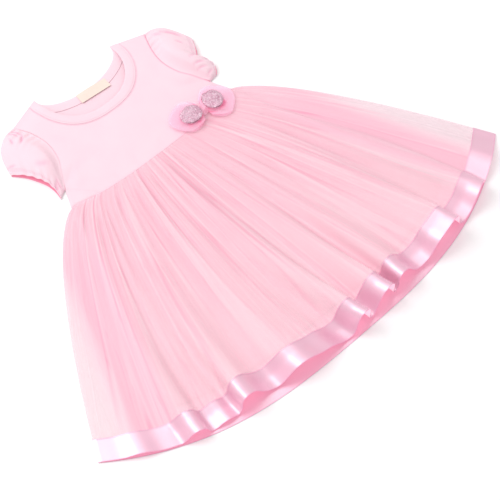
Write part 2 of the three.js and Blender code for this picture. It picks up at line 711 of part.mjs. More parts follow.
const tulleBack = skirtOutline(0, RIBBON_START - SEAM_V, skirtHalf);
const ribbonBack = skirtOutline(RIBBON_START, 1, skirtHalf);
const lining = skirtOutline(0, LINING_SHARE, liningHalf);
add("skirt_back", flatPanel(tulleBack, 0), PINK_TULLE, 0.8);
add("hem_ribbon_back", flatPanel(ribbonBack, 0), PINK_SATIN, 0.3);
add("lining_back", flatPanel(lining, LAYER), PINK_LINING, 0.8);
add("lining_front", flatPanel(lining, 2 * LAYER), PINK_LINING, 0.8);
for (const width of SKIRT_WIDTHS) {
  const columns = Math.round(TULLE_COLUMNS * (width.end - width.start));
  const front = (u, v) => widthFront(width, u, v);
  add(`skirt_front_${width.number}`, wall(front, skirtRow, columns, TULLE_ROWS), PINK_TULLE, 0.8);
  add(`hem_ribbon_front_${width.number}`, wall(front, skirtRow, columns, RIBBON_ROWS), PINK_SATIN, 0.3);
}

for (const { name, ...size } of BOW_SIDES) {
  add(`bow_wing_${name}`, loopGeometry({ ...WING, ...size }), PINK_ORGANZA, 0.5);
  add(`bow_glitter_${name}`, loopGeometry({ ...size, ...GLITTER_LOOP }), SILVER_GLITTER, 0.4);
}
add("bow_knot", knotGeometry(), PINK_ORGANZA, 0.5);

export default dress;
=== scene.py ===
"""A toddler's party dress laid flat, face up, on a pale floor.

Jersey bodice with puffed cap sleeves, gathered tulle skirt over a lining, satin hem ribbon and a
glitter bow. Sizes in the functions are in millimetres, in the frame's own axes, and meshes are in metres.
"""
import math
from collections import namedtuple

import bpy
import numpy as np
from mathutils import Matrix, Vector
from mathutils.geometry import delaunay_2d_cdt


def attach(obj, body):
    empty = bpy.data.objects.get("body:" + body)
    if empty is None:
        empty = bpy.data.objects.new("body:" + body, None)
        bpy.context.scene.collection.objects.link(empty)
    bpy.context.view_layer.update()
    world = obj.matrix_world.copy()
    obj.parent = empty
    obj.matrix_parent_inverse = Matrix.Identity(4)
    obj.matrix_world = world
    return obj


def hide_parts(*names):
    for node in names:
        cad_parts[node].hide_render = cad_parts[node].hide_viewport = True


bl_info = {
    "name": "Toddler party dress",
    "version": (1, 0, 0),
    "blender": (4, 5, 0),
    "location": "View3D > Sidebar > Dress",
    "description": "Builds a toddler's party dress laid flat",
    "category": "Add Mesh",
}

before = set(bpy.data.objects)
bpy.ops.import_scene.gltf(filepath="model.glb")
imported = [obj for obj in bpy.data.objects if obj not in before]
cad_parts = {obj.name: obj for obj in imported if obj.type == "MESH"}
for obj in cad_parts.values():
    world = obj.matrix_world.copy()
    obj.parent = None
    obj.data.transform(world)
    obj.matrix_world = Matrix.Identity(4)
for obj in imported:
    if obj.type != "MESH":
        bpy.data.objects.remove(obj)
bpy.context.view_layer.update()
MM = 0.001

# Walls and layers: the part's wall, a seam's gap, and in this script the thin cloth and its rounded edges
CLOTH = 1.0
SEAM = 0.3
LAYER = CLOTH + SEAM
THIN = 0.5
EDGE_ROLL = 3.0
EDGE_DROP = 1.3
BODICE_DROP = 1.2

# Bodice
WAIST_HALF = 130
WAIST_DIP = 15
WAIST_RISE = 70
SIDE_SEAM_TOP = (119, 24)
SHOULDER = (107, 137)
NECK_HALF = 62
NECK_TOP = 152
NECK_FRONT_DEPTH = 66
NECK_BACK_DEPTH = 31
NECK_POWER = 2.3
BINDING = 13
BINDING_TOP = 0.85
BINDING_STEP = 0.4
LOFT_WAIST = 2.0
LOFT_CHEST = 3.1
LOFT_DRAG = 0.4
EASE = 24
DRAG_ACROSS = 17
DRAG_ALONG = 29
SHOULDER_SLOPE = (NECK_TOP - SHOULDER[1]) / (SHOULDER[0] - NECK_HALF)
SEAM_HALF = NECK_HALF + BINDING * BINDING_TOP
ARMHOLE = [(107, 137), (97, 113), (92.5, 88), (97, 63), (108, 43), (119, 24)]

# Skirt
SKIRT_LENGTH = 345
HEM_HALF = 322
HEM_RISE = 86
FLARE_POWER = 0.8
HEM_POWER = 2.9
SIDE_POWER = 1.1
RIBBON = 29
GATHERS = 34
GATHER_TURN = math.radians(42)
GATHER_FADE = 2.2
SEAM_HELD = 0.3
SEAM_FADE = 0.07
WAVE_GROWTH = 1.25
RIPPLES = 20
RIPPLE_TURN = math.radians(12)
RIPPLE_START = -3.1
RIPPLE_DRIFT = 0.35
FINE_TURN = 0.16
FINE_COUNT = 2.7
FINE_DRIFT = 0.3
LEFT_FLAT = 0.05
SIDE_RISE = 0.055
CREST_POWER = 0.78
SIDE_SHARE = 0.02
LINING_WAIST = 124
LINING_SPREAD = 112
LINING_SHARE = 0.86
STEP_CLEAR = 2.5
STEP_WAIST = 5
STEP_HEM = 16
STEP_MARGIN = 0.004
STEP_DOWN = 0.06
RIBBON_START = 1 - RIBBON / SKIRT_LENGTH
SEAM_V = SEAM / SKIRT_LENGTH

# Waves that bunch the gathers and that make them uneven: size, number across the skirt and turn
GATHER_BUNCHES = [(0.3, 5, 0), (0.16, 11, 1)]
GATHER_MEAN = 0.42
GATHER_UNEVEN = [(0.3, 6.3, 0.4), (0.2, 14.7, 0)]

# Ruffle waves of the front hem, from the viewer's left: width, steepest angles of the left and right
# sides in degrees, and how much higher up the dress the front hem lies there.
Wave = namedtuple("Wave", "width rise fall lift")
HEM_WAVES = [
    Wave(80, 12, 14, 0),
    Wave(40, 64, 60, 3),
    Wave(32, 16, 22, 7),
    Wave(58, 90, 50, 14),
    Wave(106, 60, 27, 7),
    Wave(35, 94, 92, 4),
    Wave(41, 74, 90, 9),
    Wave(46, 86, 66, 11),
    Wave(84, 46, 82, 7),
    Wave(62, 38, 80, -1),
    Wave(60, 26, 28, -3),
]
MOST_LIFT = max(wave.lift for wave in HEM_WAVES)
FRONT_WIDTHS = 4
FOLD_SHADE = 0.62
FOLD_SHADE_FADE = 0.88
DEEPEST_FOLD = 1.9
FOLD_ROOM = 0.55
GATHER_DEPTH = 0.9
WAVE_DEPTH = 7.0
FRONT_THIN = 0.7
STRAIGHT_SHARE = 0.12

# Where the tulle is pale, beyond the lining, and where it looks double, in mm from the lining's edge.
BARE_START = 28
BARE_FADE = 28
DOUBLE_FADE = 16
DOUBLE_SHARE = 0.6
LOW_PALE = 0.42
BACK_FOLD = 0.2
BACK_BARE = 0.8
LINING_END = LINING_SHARE * SKIRT_LENGTH / (SKIRT_LENGTH - MOST_LIFT) + STEP_MARGIN

# Bow
BOW_X = 79
BOW_Y = -7
BOW_TURN = math.radians(-9)
BOW_REACH = 66
BOW_SHARE = 0.96
BOW_BASE = 5.5


def mix(a, b, t):
    return a + (b - a) * t


def smooth(t):
    t = np.clip(t, 0, 1)
    return t * t * (3 - 2 * t)


def tint(code):
    """Linear colour of a 24-bit screen colour."""
    channels = [((code >> shift) & 255) / 255 for shift in (16, 8, 0)]
    return tuple(c / 12.92 if c <= 0.04045 else ((c + 0.055) / 1.055) ** 2.4 for c in channels)


def length_property(name, description, value_mm, least_mm, most_mm):
    return bpy.props.FloatProperty(
        name=name,
        description=description,
        default=value_mm * MM,
        min=least_mm * MM,
        max=most_mm * MM,
        unit="LENGTH",
    )


class DressSizes(bpy.types.PropertyGroup):
    """Sizes that a user would change"""

    cloth: length_property("Cloth thickness", "Thickness of jersey, tulle and lining", THIN, 0.2, 1)
    stitch: length_property("Stitch length", "Length of one visible stitch", 2.4, 1, 4)
    thread: length_property("Thread thickness", "Thickness of the sewing thread", 0.36, 0.2, 1)
    mesh_cell: length_property("Tulle cell", "Width of one opening in the tulle's net", 1.1, 0.6, 3)
    flakes: bpy.props.IntProperty(
        name="Glitter flakes",
        description="Number of flakes on each glitter loop",
        default=520,
        min=50,
        max=3000,
    )


def colour_property(name, description, code):
    return bpy.props.FloatVectorProperty(
        name=name, description=description, default=tint(code), subtype="COLOR", size=3, min=0, max=1
    )


class DressColours(bpy.types.PropertyGroup):
    """Colours that a user would change"""

    jersey: colour_property("Jersey", "Bodice and sleeves", 0xF6D8E1)
    tulle: colour_property("Tulle", "Lit face of the skirt's tulle", 0xF7D2DD)
    # Painted shade: the tulle's colour in its folds and fold lines, partly the tulle lying double
    tulle_double_and_shade: colour_property("Tulle in the folds", "Tulle where it lies double", 0xE594AE)
    tulle_pale: colour_property("Single tulle", "Tulle beyond the lining", 0xFAF0F3)
    lining: colour_property("Lining", "Lining of the skirt", 0xFBBBCB)
    satin: colour_property("Satin", "Hem ribbon", 0xF2B6CE)
    satin_reverse: colour_property("Satin reverse", "Inner side of the hem ribbon", 0xF9D6E2)
    satin_edge: colour_property("Satin edge", "Woven edges of the hem ribbon", 0xEFA3C6)
    organza: colour_property("Organza", "Outer loops of the bow", 0xFFD6EA)
    # Painted shade: the organza's colour near the knot, along its ribs, on its lower side and under the
    # glitter loops, partly the organza bunched double
    organza_bunched_and_shade: colour_property("Organza in the folds", "Organza near the knot", 0xEE5A94)
    glitter: colour_property("Glitter", "Ground of the glitter ribbon", 0xC97599)
    label: colour_property("Label", "Woven neck label", 0xF4E0D4)
    thread: colour_property("Thread", "Sewing thread", 0xF3D2E0)


# Meshes


def only(piece):
    """Makes this piece the only selected and the active one."""
    bpy.ops.object.select_all(action="DESELECT")
    piece.select_set(True)
    bpy.context.view_layer.objects.active = piece


def give_uv(piece, flat_mm):
    """Writes each vertex's place on the flat cloth, in metres, to the UV map."""
    mesh = piece.data
    layer = mesh.uv_layers[0] if mesh.uv_layers else mesh.uv_layers.new(name="UVMap")
    corners = np.zeros(len(mesh.loops), np.int32)
    mesh.loops.foreach_get("vertex_index", corners)
    layer.data.foreach_set("uv", (np.asarray(flat_mm)[corners] * MM).astype(np.float32).ravel())


def give_share(piece, name, share):
    """Stores a share from 0 to 1 at each vertex, for the material."""
    attribute = piece.data.attributes.new(name, "FLOAT", "POINT")
    attribute.data.foreach_set("value", np.clip(share, 0, 1).astype(np.float32))


def places_mm(piece):
    """Every vertex's place, in mm."""
    place = np.zeros(len(piece.data.vertices) * 3, np.float32)
    piece.data.vertices.foreach_get("co", place)
    return place.reshape(-1, 3).astype(float) / MM


def new_piece(name, points_mm, faces):
    mesh = bpy.data.meshes.new(name)
    mesh.from_pydata((np.asarray(points_mm) * MM).tolist(), [], faces)
    piece = bpy.data.objects.new(name, mesh)
    bpy.context.collection.objects.link(piece)
    return piece


def edit_all(piece, *steps):
    """Runs mesh operators on the whole of a piece."""
    only(piece)
    bpy.ops.object.mode_set(mode="EDIT")
    bpy.ops.mesh.select_all(action="SELECT")
    for step in steps:
        step()
    bpy.ops.object.mode_set(mode="OBJECT")


def turn_outwards():
    bpy.ops.mesh.normals_make_consistent(inside=False)


def join_doubles():
    bpy.ops.mesh.remove_doubles(threshold=1e-7)


def smooth_faces(piece, angle):
    only(piece)
    bpy.ops.object.shade_smooth_by_angle(angle=math.radians(angle))


def thicken(piece, thickness, reverse):
    """Gives a sheet its thickness, below its face, and its reverse side a material of its own."""
    only(piece)
    wall = piece.modifiers.new("Wall", "SOLIDIFY")
    wall.thickness = thickness
    wall.offset = -1
    wall.use_even_offset = False
    if reverse:
        wall.material_offset = 1
        piece.data.materials.append(None)
        piece.data.materials.append(reverse)
    bpy.ops.object.modifier_apply(modifier=wall.name)


def grid_sheet(name, columns, rows, surface, flat, share=None, joined=False):
    """A sheet whose vertices lie at surface(u, v), in mm, with v from 0 at the top to 1 at the bottom.

    flat(u, v) gives their places on the flat cloth. surface leaves its depth of fold in share. joined
    closes the sheet into a tube along u that faces outwards.
    """
    bpy.ops.object.select_all(action="DESELECT")
    bpy.ops.mesh.primitive_grid_add(x_subdivisions=columns, y_subdivisions=rows, size=2)
    piece = bpy.context.object
    piece.name = name
    mesh = piece.data
    mesh.name = name
    place = np.zeros(len(mesh.vertices) * 3, np.float32)
    mesh.vertices.foreach_get("co", place)
    place = place.reshape(-1, 3)
    u = np.round((place[:, 0] + 1) / 2 * columns) / columns
    v = np.round((1 - place[:, 1]) / 2 * rows) / rows
    points = np.asarray(surface(u, v), float)
    mesh.vertices.foreach_set("co", (points * MM).astype(np.float32).ravel())
    give_uv(piece, flat(u, v))
    if share:
        give_share(piece, "fold", share["value"])
    if joined:
        edit_all(piece, join_doubles, turn_outwards)
    mesh.update()
    return piece, u, v


def inside(points, outline):
    """Which points lie inside a closed outline."""
    x, y = points[:, 0], points[:, 1]
    found = np.zeros(len(points), bool)
    for (x0, y0), (x1, y1) in zip(outline, np.roll(outline, -1, axis=0)):
        crosses = (y0 > y) != (y1 > y)
        with np.errstate(divide="ignore", invalid="ignore"):
            at = x0 + (y - y0) * (x1 - x0) / (y1 - y0)
        found ^= crosses & (x < at)
    return found


def distance(points, line, closed=True):
    """Distance from each point to a line of points."""
    line = np.asarray(line, float)
    starts, ends = (line, np.roll(line, -1, axis=0)) if closed else (line[:-1], line[1:])
    least = np.full(len(points), 1e9)
    for a, b in zip(starts, ends):
        d = b - a
        length = max(float(d @ d), 1e-12)
        t = np.clip((points - a) @ d / length, 0, 1)
        gap = np.hypot(*(points - a - t[:, None] * d).T)
        least = np.minimum(least, gap)
    return least


def panel(name, outline, spacing, height):
    """A sheet inside a plan outline, in mm, with even triangles. height(points) gives its upper face."""
    outline = np.asarray(outline, float)
    low, high = outline.min(0), outline.max(0)
    row_step = spacing * math.sqrt(3) / 2
    rows = []
    for i, y in enumerate(np.arange(low[1], high[1], row_step)):
        x = np.arange(low[0] + (i % 2) * spacing / 2, high[0], spacing)
        rows.append(np.column_stack([x, np.full(len(x), y)]))
    points = np.vstack(rows)
    points = points[inside(points, outline)]
    points = points[distance(points, outline) > spacing * 0.55]
    every = np.vstack([outline, points])
    count = len(outline)
    edges = [(i, (i + 1) % count) for i in range(count)]
    made = delaunay_2d_cdt([Vector(p) for p in every], edges, [], 1, 1e-6)
    plan = np.array([tuple(p) for p in made[0]], float)
    triangles = np.array([tuple(face) for face in made[2] if len(face) == 3])
    kept = inside(plan[triangles].mean(axis=1), outline)
    faces = triangles[kept].tolist()
    top = np.column_stack([plan, height(plan)])
    piece = new_piece(name, top, faces)
    edit_all(piece, bpy.ops.mesh.delete_loose, turn_outwards)
    mesh = piece.data
    normals = np.zeros(len(mesh.polygons) * 3, np.float32)
    mesh.polygons.foreach_get("normal", normals)
    if normals.reshape(-1, 3)[:, 2].mean() < 0:
        mesh.flip_normals()
    give_uv(piece, places_mm(piece)[:, :2])
    return piece


def outline_area(outline):
    outline = np.asarray(outline, float)
    x, y = outline.T
    return abs(float(np.sum(x * np.roll(y, -1) - y * np.roll(x, -1)))) / 2


def dress_piece(piece, material, slot, *nodes):
    """Gives a finished piece its material and body, and hides the nodes that it stands for. slot is not used.
    """
    if piece.data.materials:
        piece.data.materials[0] = material
    else:
        piece.data.materials.append(material)
    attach(piece, "root")
    if nodes:
        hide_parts(*nodes)


def finish_sheet(piece, cloth, thickness, angle, nodes, reverse=None):
    """Gives a sheet its thickness, its smooth faces and all that dress_piece gives."""
    thicken(piece, thickness, reverse)
    smooth_faces(piece, angle)
    dress_piece(piece, finish_of(cloth), cloth, *nodes)


def declare_panel(outline):
    """Works out the area of a laid sheet cut to this outline, and does nothing with it."""
    outline = np.asarray(outline, float)
    outline_area(outline) * MM * MM


def spline(points, t):
    """Smooth curve through points at t from 0 to 1, with even steps between the points."""
    points = np.asarray(points, float)
    t = np.asarray(t, float)
    last = len(points) - 1
    at = np.clip(t * last, 0, last)
    low = np.minimum(at.astype(int), last - 1)
    w = (at - low)[..., None]
    before = points[np.maximum(low - 1, 0)]
    start = points[low]
    end = points[low + 1]
    after = points[np.minimum(low + 2, last)]
    slope_in = (end - before) / 2
    slope_out = (after - start) / 2
    first = low == 0
    slope_in = np.where(first[..., None], (end - start) / 2, slope_in)
    final = low == last - 1
    slope_out = np.where(final[..., None], (end - start) / 2, slope_out)
    square, cube = w * w, w * w * w
    return (
        (2 * start - 2 * end + slope_in + slope_out) * cube
        + (-3 * start + 3 * end - 2 * slope_in - slope_out) * square
        + slope_in * w
        + start
    )


def even_steps(line, spacing):
    """Points along a line of points, this far apart, with the line's direction at each."""
    line = np.asarray(line, float)
    lengths = np.hypot.reduce(np.diff(line, axis=0), axis=1)
    along = np.concatenate([[0], np.cumsum(lengths)])
    count = max(2, int(along[-1] / spacing))
    at = (np.arange(count) + 0.5) / count * along[-1]
    points, ahead, behind = (
        np.column_stack([np.interp(at + step, along, part) for part in line.T]) for step in (0, 0.2, -0.2)
    )
    forward = ahead - behind
    forward /= np.maximum(np.linalg.norm(forward, axis=1), 1e-9)[:, None]
    return points, forward


STITCH_RINGS = [(-0.5, 0.25), (-0.42, 0.8), (-0.15, 1.0), (0.15, 1.0), (0.42, 0.8), (0.5, 0.25)]
STITCH_SIDES = 6
STITCH_SHARE = 0.72
STITCH_LAY = 0.25


def stitches(name, lines, sizes, slot):
    """Rows of short thread capsules along lines of 3-D points, in mm, half sunk in the cloth."""
    length = sizes.stitch / MM
    radius = sizes.thread / MM / 2
    corner = []
    for along, wide in STITCH_RINGS:
        for side in range(STITCH_SIDES):
            turn = 2 * math.pi * side / STITCH_SIDES
            arch = radius * (1 - (2 * along) ** 2) * 0.6
            across, up = wide * radius * math.cos(turn), wide * radius * math.sin(turn)
            corner.append((along * length * STITCH_SHARE, across, arch + up))
    corner = np.array(corner)
    rings = len(STITCH_RINGS)
    faces = [tuple(reversed(range(STITCH_SIDES)))]
    for ring in range(rings - 1):
        for side in range(STITCH_SIDES):
            a = ring * STITCH_SIDES + side
            b = ring * STITCH_SIDES + (side + 1) % STITCH_SIDES
            faces.append((a, b, b + STITCH_SIDES, a + STITCH_SIDES))
    faces.append(tuple(range((rings - 1) * STITCH_SIDES, rings * STITCH_SIDES)))
    points, every = [], []
    for line in lines:
        middle, forward = even_steps(line, length)
        for p, f in zip(middle, forward):
            side = np.cross((0, 0, 1), f)
            side /= max(np.linalg.norm(side), 1e-9)
            up = np.cross(f, side)
            base = len(points) * len(corner)
            points.append(p + up * STITCH_LAY * radius + corner @ np.array([f, side, up]))
            every.extend(tuple(i + base for i in face) for face in faces)
    piece = new_piece(name, np.vstack(points), every)
    smooth_faces(piece, 60)
    dress_piece(piece, finish_of("thread"), slot)


# Outlines of the bodice


def shoulder_line(x):
    return NECK_TOP - (np.abs(x) - NECK_HALF) * SHOULDER_SLOPE


SEAM_TOP = float(shoulder_line(SEAM_HALF))
FRONT_NECK_LOW = NECK_TOP - NECK_FRONT_DEPTH
BACK_NECK_LOW = NECK_TOP - NECK_BACK_DEPTH
NECK_STEPS = 40
FRONT_SPACING = 1.6
BACK_SPACING = 4.0
FLAT_SPACING = 7.0


def neckline(half_width, top, depth, power):
    """Run from the right shoulder to the left one."""
    turn = np.linspace(0, math.pi / 2, NECK_STEPS + 1)
    right = np.column_stack(
        [half_width * np.cos(turn).clip(0) ** (2 / power), top - depth * np.sin(turn) ** (2 / power)]
    )
    left = right[:-1][::-1] * (-1, 1)
    return np.vstack([right, left])


def front_seam(gap=0.0):
    return neckline(SEAM_HALF + gap, SEAM_TOP, SEAM_TOP - FRONT_NECK_LOW + BINDING + gap, NECK_POWER)


def back_seam(gap=0.0):
    return neckline(SEAM_HALF + gap, SEAM_TOP, SEAM_TOP - BACK_NECK_LOW + BINDING + gap, 2)


def front_edge():
    return neckline(NECK_HALF, NECK_TOP, NECK_FRONT_DEPTH, NECK_POWER)


def back_edge():
    return neckline(NECK_HALF, NECK_TOP, NECK_BACK_DEPTH, 2)


def waist_seam(x):
    return -WAIST_DIP + (WAIST_DIP - 1) * np.abs(x / WAIST_HALF) ** HEM_POWER


def armhole(t):
    return spline(ARMHOLE, t)


def bodice_outline(neck_seam):
    """Counterclockwise from the left end of the waist."""
    x = np.linspace(-WAIST_HALF, WAIST_HALF, 90)
    waist = np.column_stack([x, waist_seam(x)])
    right = armhole(np.linspace(1, 0, 48))
    side = np.column_stack(
        [np.linspace(WAIST_HALF, SIDE_SEAM_TOP[0], 10), np.linspace(-1, SIDE_SEAM_TOP[1], 10)]
    )[1:-1]
    mirror = np.vstack([side, right])[::-1] * (-1, 1)
    return np.vstack([waist, side, right, neck_seam, mirror])


SIDE_SLOPE = (WAIST_HALF - SIDE_SEAM_TOP[0]) / SIDE_SEAM_TOP[1]


def freedom(x, y):
    """How free the front is to rise: 0 along a side seam or shoulder seam, 1 well away from both."""
    side_x = WAIST_HALF - SIDE_SLOPE * np.maximum(0, y)
    armhole_open = smooth((y - SIDE_SEAM_TOP[1]) / EASE)
    from_side = np.maximum(smooth((side_x - np.abs(x)) / EASE), armhole_open)
    near = np.maximum(np.abs(x), NECK_HALF)
    return from_side * smooth((shoulder_line(near) - y) / EASE)


# Soft creases of the front bodice: start, end, width and depth, negative for a ridge.
BODICE_CREASES = [
    ((-116, 24), (-66, 44), 6.0, 0.35),
    ((-121, 8), (-78, 16), 7.0, 0.3),
    ((112, 34), (74, 60), 6.5, 0.4),
    ((119, 17), (96, 12), 3.0, 0.9),
    ((-92, 96), (-58, 58), 7.0, 0.25),
    ((90, 104), (64, 66), 7.0, 0.25),
    ((-30, -14), (-22, 12), 4.0, 0.2),
    ((-58, -13), (-60, 9), 3.5, 0.2),
    ((10, -15), (16, 9), 4.5, 0.2),
    ((-88, -10), (-96, 6), 3.5, 0.2),
    ((38, -15), (36, 6), 3.5, 0.2),
]


def crease_depth(x, y, creases):
    """Depth of soft creases at plan points. Each fades to its ends."""
    depth = np.zeros(np.shape(x))
    for (x0, y0), (x1, y1), width, deep in creases:
        dx, dy = x1 - x0, y1 - y0
        length = math.hypot(dx, dy)
        along = ((x - x0) * dx + (y - y0) * dy) / length / length
        across = ((x - x0) * dy - (y - y0) * dx) / length
        bend = across + 0.06 * length * np.sin(math.pi * np.clip(along, 0, 1))
        fade = smooth(along / 0.3) * smooth((1 - along) / 0.5)
        fade = np.maximum(fade, smooth((along + 0.1) / 0.1) * smooth((1 - along) / 0.6) * 0.5)
        depth += deep * fade * np.exp(-((bend / width) ** 2))
    return depth


def bodice_top(x, y):
    above_waist = smooth((y + WAIST_DIP) / WAIST_RISE)
    drag = LOFT_DRAG * np.sin(np.abs(x) / DRAG_ACROSS + y / DRAG_ALONG) * above_waist
    return LAYER + CLOTH + freedom(x, y) * (mix(LOFT_WAIST, LOFT_CHEST, above_waist) + drag)


# Sleeves: plan curves written for the viewer's right, and how high each rises.
SLEEVES = {
    "left": {
        "side": -1,
        "crown": [(107.5, 137), (122, 135), (138, 124), (148, 107), (154, 84)],
        "hem": [(154, 84), (143, 71), (135, 56), (130, 42), (129, 28), (131, 17)],
        "rise": 13,
        "slack": 0.42,
        "seam": 0.2,
        "back": 0.3,
        "creases": [
            ((-118, 133), (-112, 119), 1.0, 1.6),
            ((-113, 133), (-108, 121), 0.9, 1.6),
            ((-107, 122), (-121, 106), 1.5, 1.8),
            ((-123, 126), (-127, 112), 1.4, 1.2),
            ((-151, 94), (-141, 87), 1.6, 0.9),
            ((-133, 20), (-127, 42), 2.0, 1.2),
            ((-128, 24), (-120, 40), 1.8, 1.2),
            ((-122, 22), (-116, 46), 1.8, 0.9),
            ((-112, 60), (-128, 74), 4.0, 0.7),
        ],
    },
    "right": {
        "side": 1,
        "crown": [(107.5, 137), (119, 136), (131, 128), (140, 111), (147, 91)],
        "hem": [(147, 91), (139, 75), (130, 60), (136, 50), (138, 38), (131, 26)],
        "rise": 15,
        "slack": 0,
        "seam": 0.8,
        "back": 2.4,
        "creases": [
            ((122, 122), (138, 93), 2.4, 1.6),
            ((124, 95), (129, 84), 1.6, 1.0),
            ((112, 128), (120, 112), 2.2, 0.8),
            ((116, 51), (132, 45), 1.7, 1.1),
            ((115, 44), (130, 38), 1.6, 1.0),
            ((120, 30), (134, 33), 1.8, 0.9),
            ((118, 62), (134, 60), 2.4, 0.8),
        ],
    },
}
SLEEVE_EDGE = 3.4
SLEEVE_LIP = 0.35
SLEEVE_HEM_RISE = 0.15
SLEEVE_CLEAR = 0.05
SLEEVE_ARCH = 0.75
SWELL_FROM = 0.06
SWELL_TO = 0.92
SWELL_POWER = 0.9
CAP_GATHERS = {
    "count": 5,
    "at": 0.16,
    "spread": 0.14,
    "width": 0.36,
    "height": 1.5,
    "start": 0.08,
    "end": 0.6,
}
ELASTIC_GATHERS = {"count": 7, "start": 0.62, "height": 1.1}
ELASTIC_ROWS = (0.88, 0.92)
ELASTIC_MIDDLE = 0.9
ELASTIC_WIDTH = 0.012
ELASTIC_SHADE = 0.35
INNER_SHADE = 0.95
INNER_FROM = 0.8
SLEEVE_ROUND = 0.17
SLEEVE_THICK = 1.2
SLEEVE_CLOTH = (290, 60)


def sleeve_plan(sleeve, along, across):
    """Plan between four edge curves: across from crown to underarm, along from armhole to hem."""
    a = armhole(across)
    h = spline(sleeve["hem"], across)
    c = spline(sleeve["crown"], along)
    arm_end = armhole(1.0)
    hem_end = spline(sleeve["hem"], 1.0)
    arm_start = armhole(0.0)
    hem_start = spline(sleeve["hem"], 0.0)
    t, s = along[:, None], across[:, None]
    between = mix(a, h, t) + mix(c, mix(arm_end, hem_end, t), s)
    p = between - mix(mix(arm_start, arm_end, s), mix(hem_start, hem_end, s), t)
    p[:, 0] += SLEEVE_CLEAR * (1 - along)
    return p


def sleeve_top(sleeve, along, across):
    """Height of the sleeve's front, with the gathers of its cap and of its elastic."""
    arch = np.sin(math.pi * np.clip(across, 0, 1)).clip(0) ** SLEEVE_ARCH
    arch = arch * (1 - sleeve["slack"] * smooth((across - 0.5) / 0.4))
    a = armhole(across)
    at_armhole = np.maximum(bodice_top(a[:, 0], a[:, 1]), SLEEVE_EDGE)
    half_round = np.sin(math.pi * mix(SWELL_FROM, SWELL_TO, along)).clip(0)
    puffed = SLEEVE_EDGE + sleeve["rise"] * arch * mix(SLEEVE_HEM_RISE, 1, half_round**SWELL_POWER)
    z = mix(at_armhole, puffed, smooth(along / SLEEVE_LIP))
    g = CAP_GATHERS
    near = np.exp(-(((across - g["at"]) / g["spread"]) ** 2)) * smooth(along / g["start"])
    fade = smooth((g["end"] - along) / g["end"])
    z = z + g["height"] * np.sin(across / g["width"] * g["count"] * 2 * math.pi) * near * fade
    g = ELASTIC_GATHERS
    near = smooth((along - g["start"]) / (1 - g["start"]))
    return z + g["height"] * np.sin(across * g["count"] * 2 * math.pi) * near * arch


# Skirt


def skirt_half(v):
    return WAIST_HALF + (HEM_HALF - WAIST_HALF) * v**FLARE_POWER


def skirt_side_y(v):
    return -1 - (SKIRT_LENGTH - HEM_RISE + WAIST_DIP) * v**SIDE_POWER


def lining_half(v):
    return LINING_WAIST + LINING_SPREAD * v


def wave_middles():
    edges = np.cumsum([0] + [wave.width for wave in HEM_WAVES]) - HEM_HALF
    middles = (edges[1:] + edges[:-1]) / 2 / HEM_HALF
    return middles, np.array([wave.lift for wave in HEM_WAVES], float)


MIDDLES, LIFTS = wave_middles()


def front_lift(share):
    share = np.asarray(share, float)
    after = np.clip(np.searchsorted(MIDDLES, share, side="right"), 1, len(MIDDLES) - 1)
    before = after - 1
    t = smooth((share - MIDDLES[before]) / (MIDDLES[after] - MIDDLES[before]))
    return mix(LIFTS[before], LIFTS[after], t)


def skirt_plan(x, v, lifted=False):
    share = x / skirt_half(v)
    lift = front_lift(share) if lifted else 0.0
    middle = -WAIST_DIP - (SKIRT_LENGTH - lift) * v
    return middle + (skirt_side_y(v) - middle) * np.abs(share) ** HEM_POWER - SEAM


def skirt_outline(v0, v1, half_at):
    """Outline of a flat skirt layer from v0 to v1, counterclockwise from its lower left corner."""
    share = np.linspace(-1, 1, HEM_STEPS)
    low = np.column_stack([share * half_at(v1), skirt_plan(share * half_at(v1), v1)])
    high = np.column_stack([share * half_at(v0), skirt_plan(share * half_at(v0), v0)])[::-1]
    down = np.linspace(v1, v0, max(4, int(60 * abs(v1 - v0))))[1:-1]
    right = np.column_stack([half_at(down), skirt_plan(half_at(down), down)])
    left = right[::-1] * (-1, 1)
    return np.vstack([low, right, high, left])


def side_angle(s):
    return np.sin(math.pi * np.clip(s, 0, 1) ** CREST_POWER)


def measured_waves():
    """Start, end, crest share and steepest angles of each wave on the cloth, and the cloth's width."""
    s = (np.arange(60) + 0.5) / 60
    rows = []
    for width, rise, fall, _ in HEM_WAVES:
        rise, fall = math.radians(rise), math.radians(fall)
        up = np.mean(np.sin(rise * side_angle(s)))
        down = np.mean(np.sin(fall * side_angle(s)))
        crest = down / (up + down)
        flat = crest * np.mean(np.cos(rise * side_angle(s)))
        flat += (1 - crest) * np.mean(np.cos(fall * side_angle(s)))
        rows.append((width / flat, crest, rise, fall))
    cloth = np.array([row[0] for row in rows])
    edges = np.concatenate([[0], np.cumsum(cloth)]) / cloth.sum()
    return [(edges[i], edges[i + 1], *rows[i][1:]) for i in range(len(rows))], float(cloth.sum())


WAVES, CLOTH_WIDTH = measured_waves()
LINE_STEPS = 2720
HEM_STEPS = 120
FRONT_STEPS = 680
TULLE_ROWS = 54
RIBBON_ROWS = 12


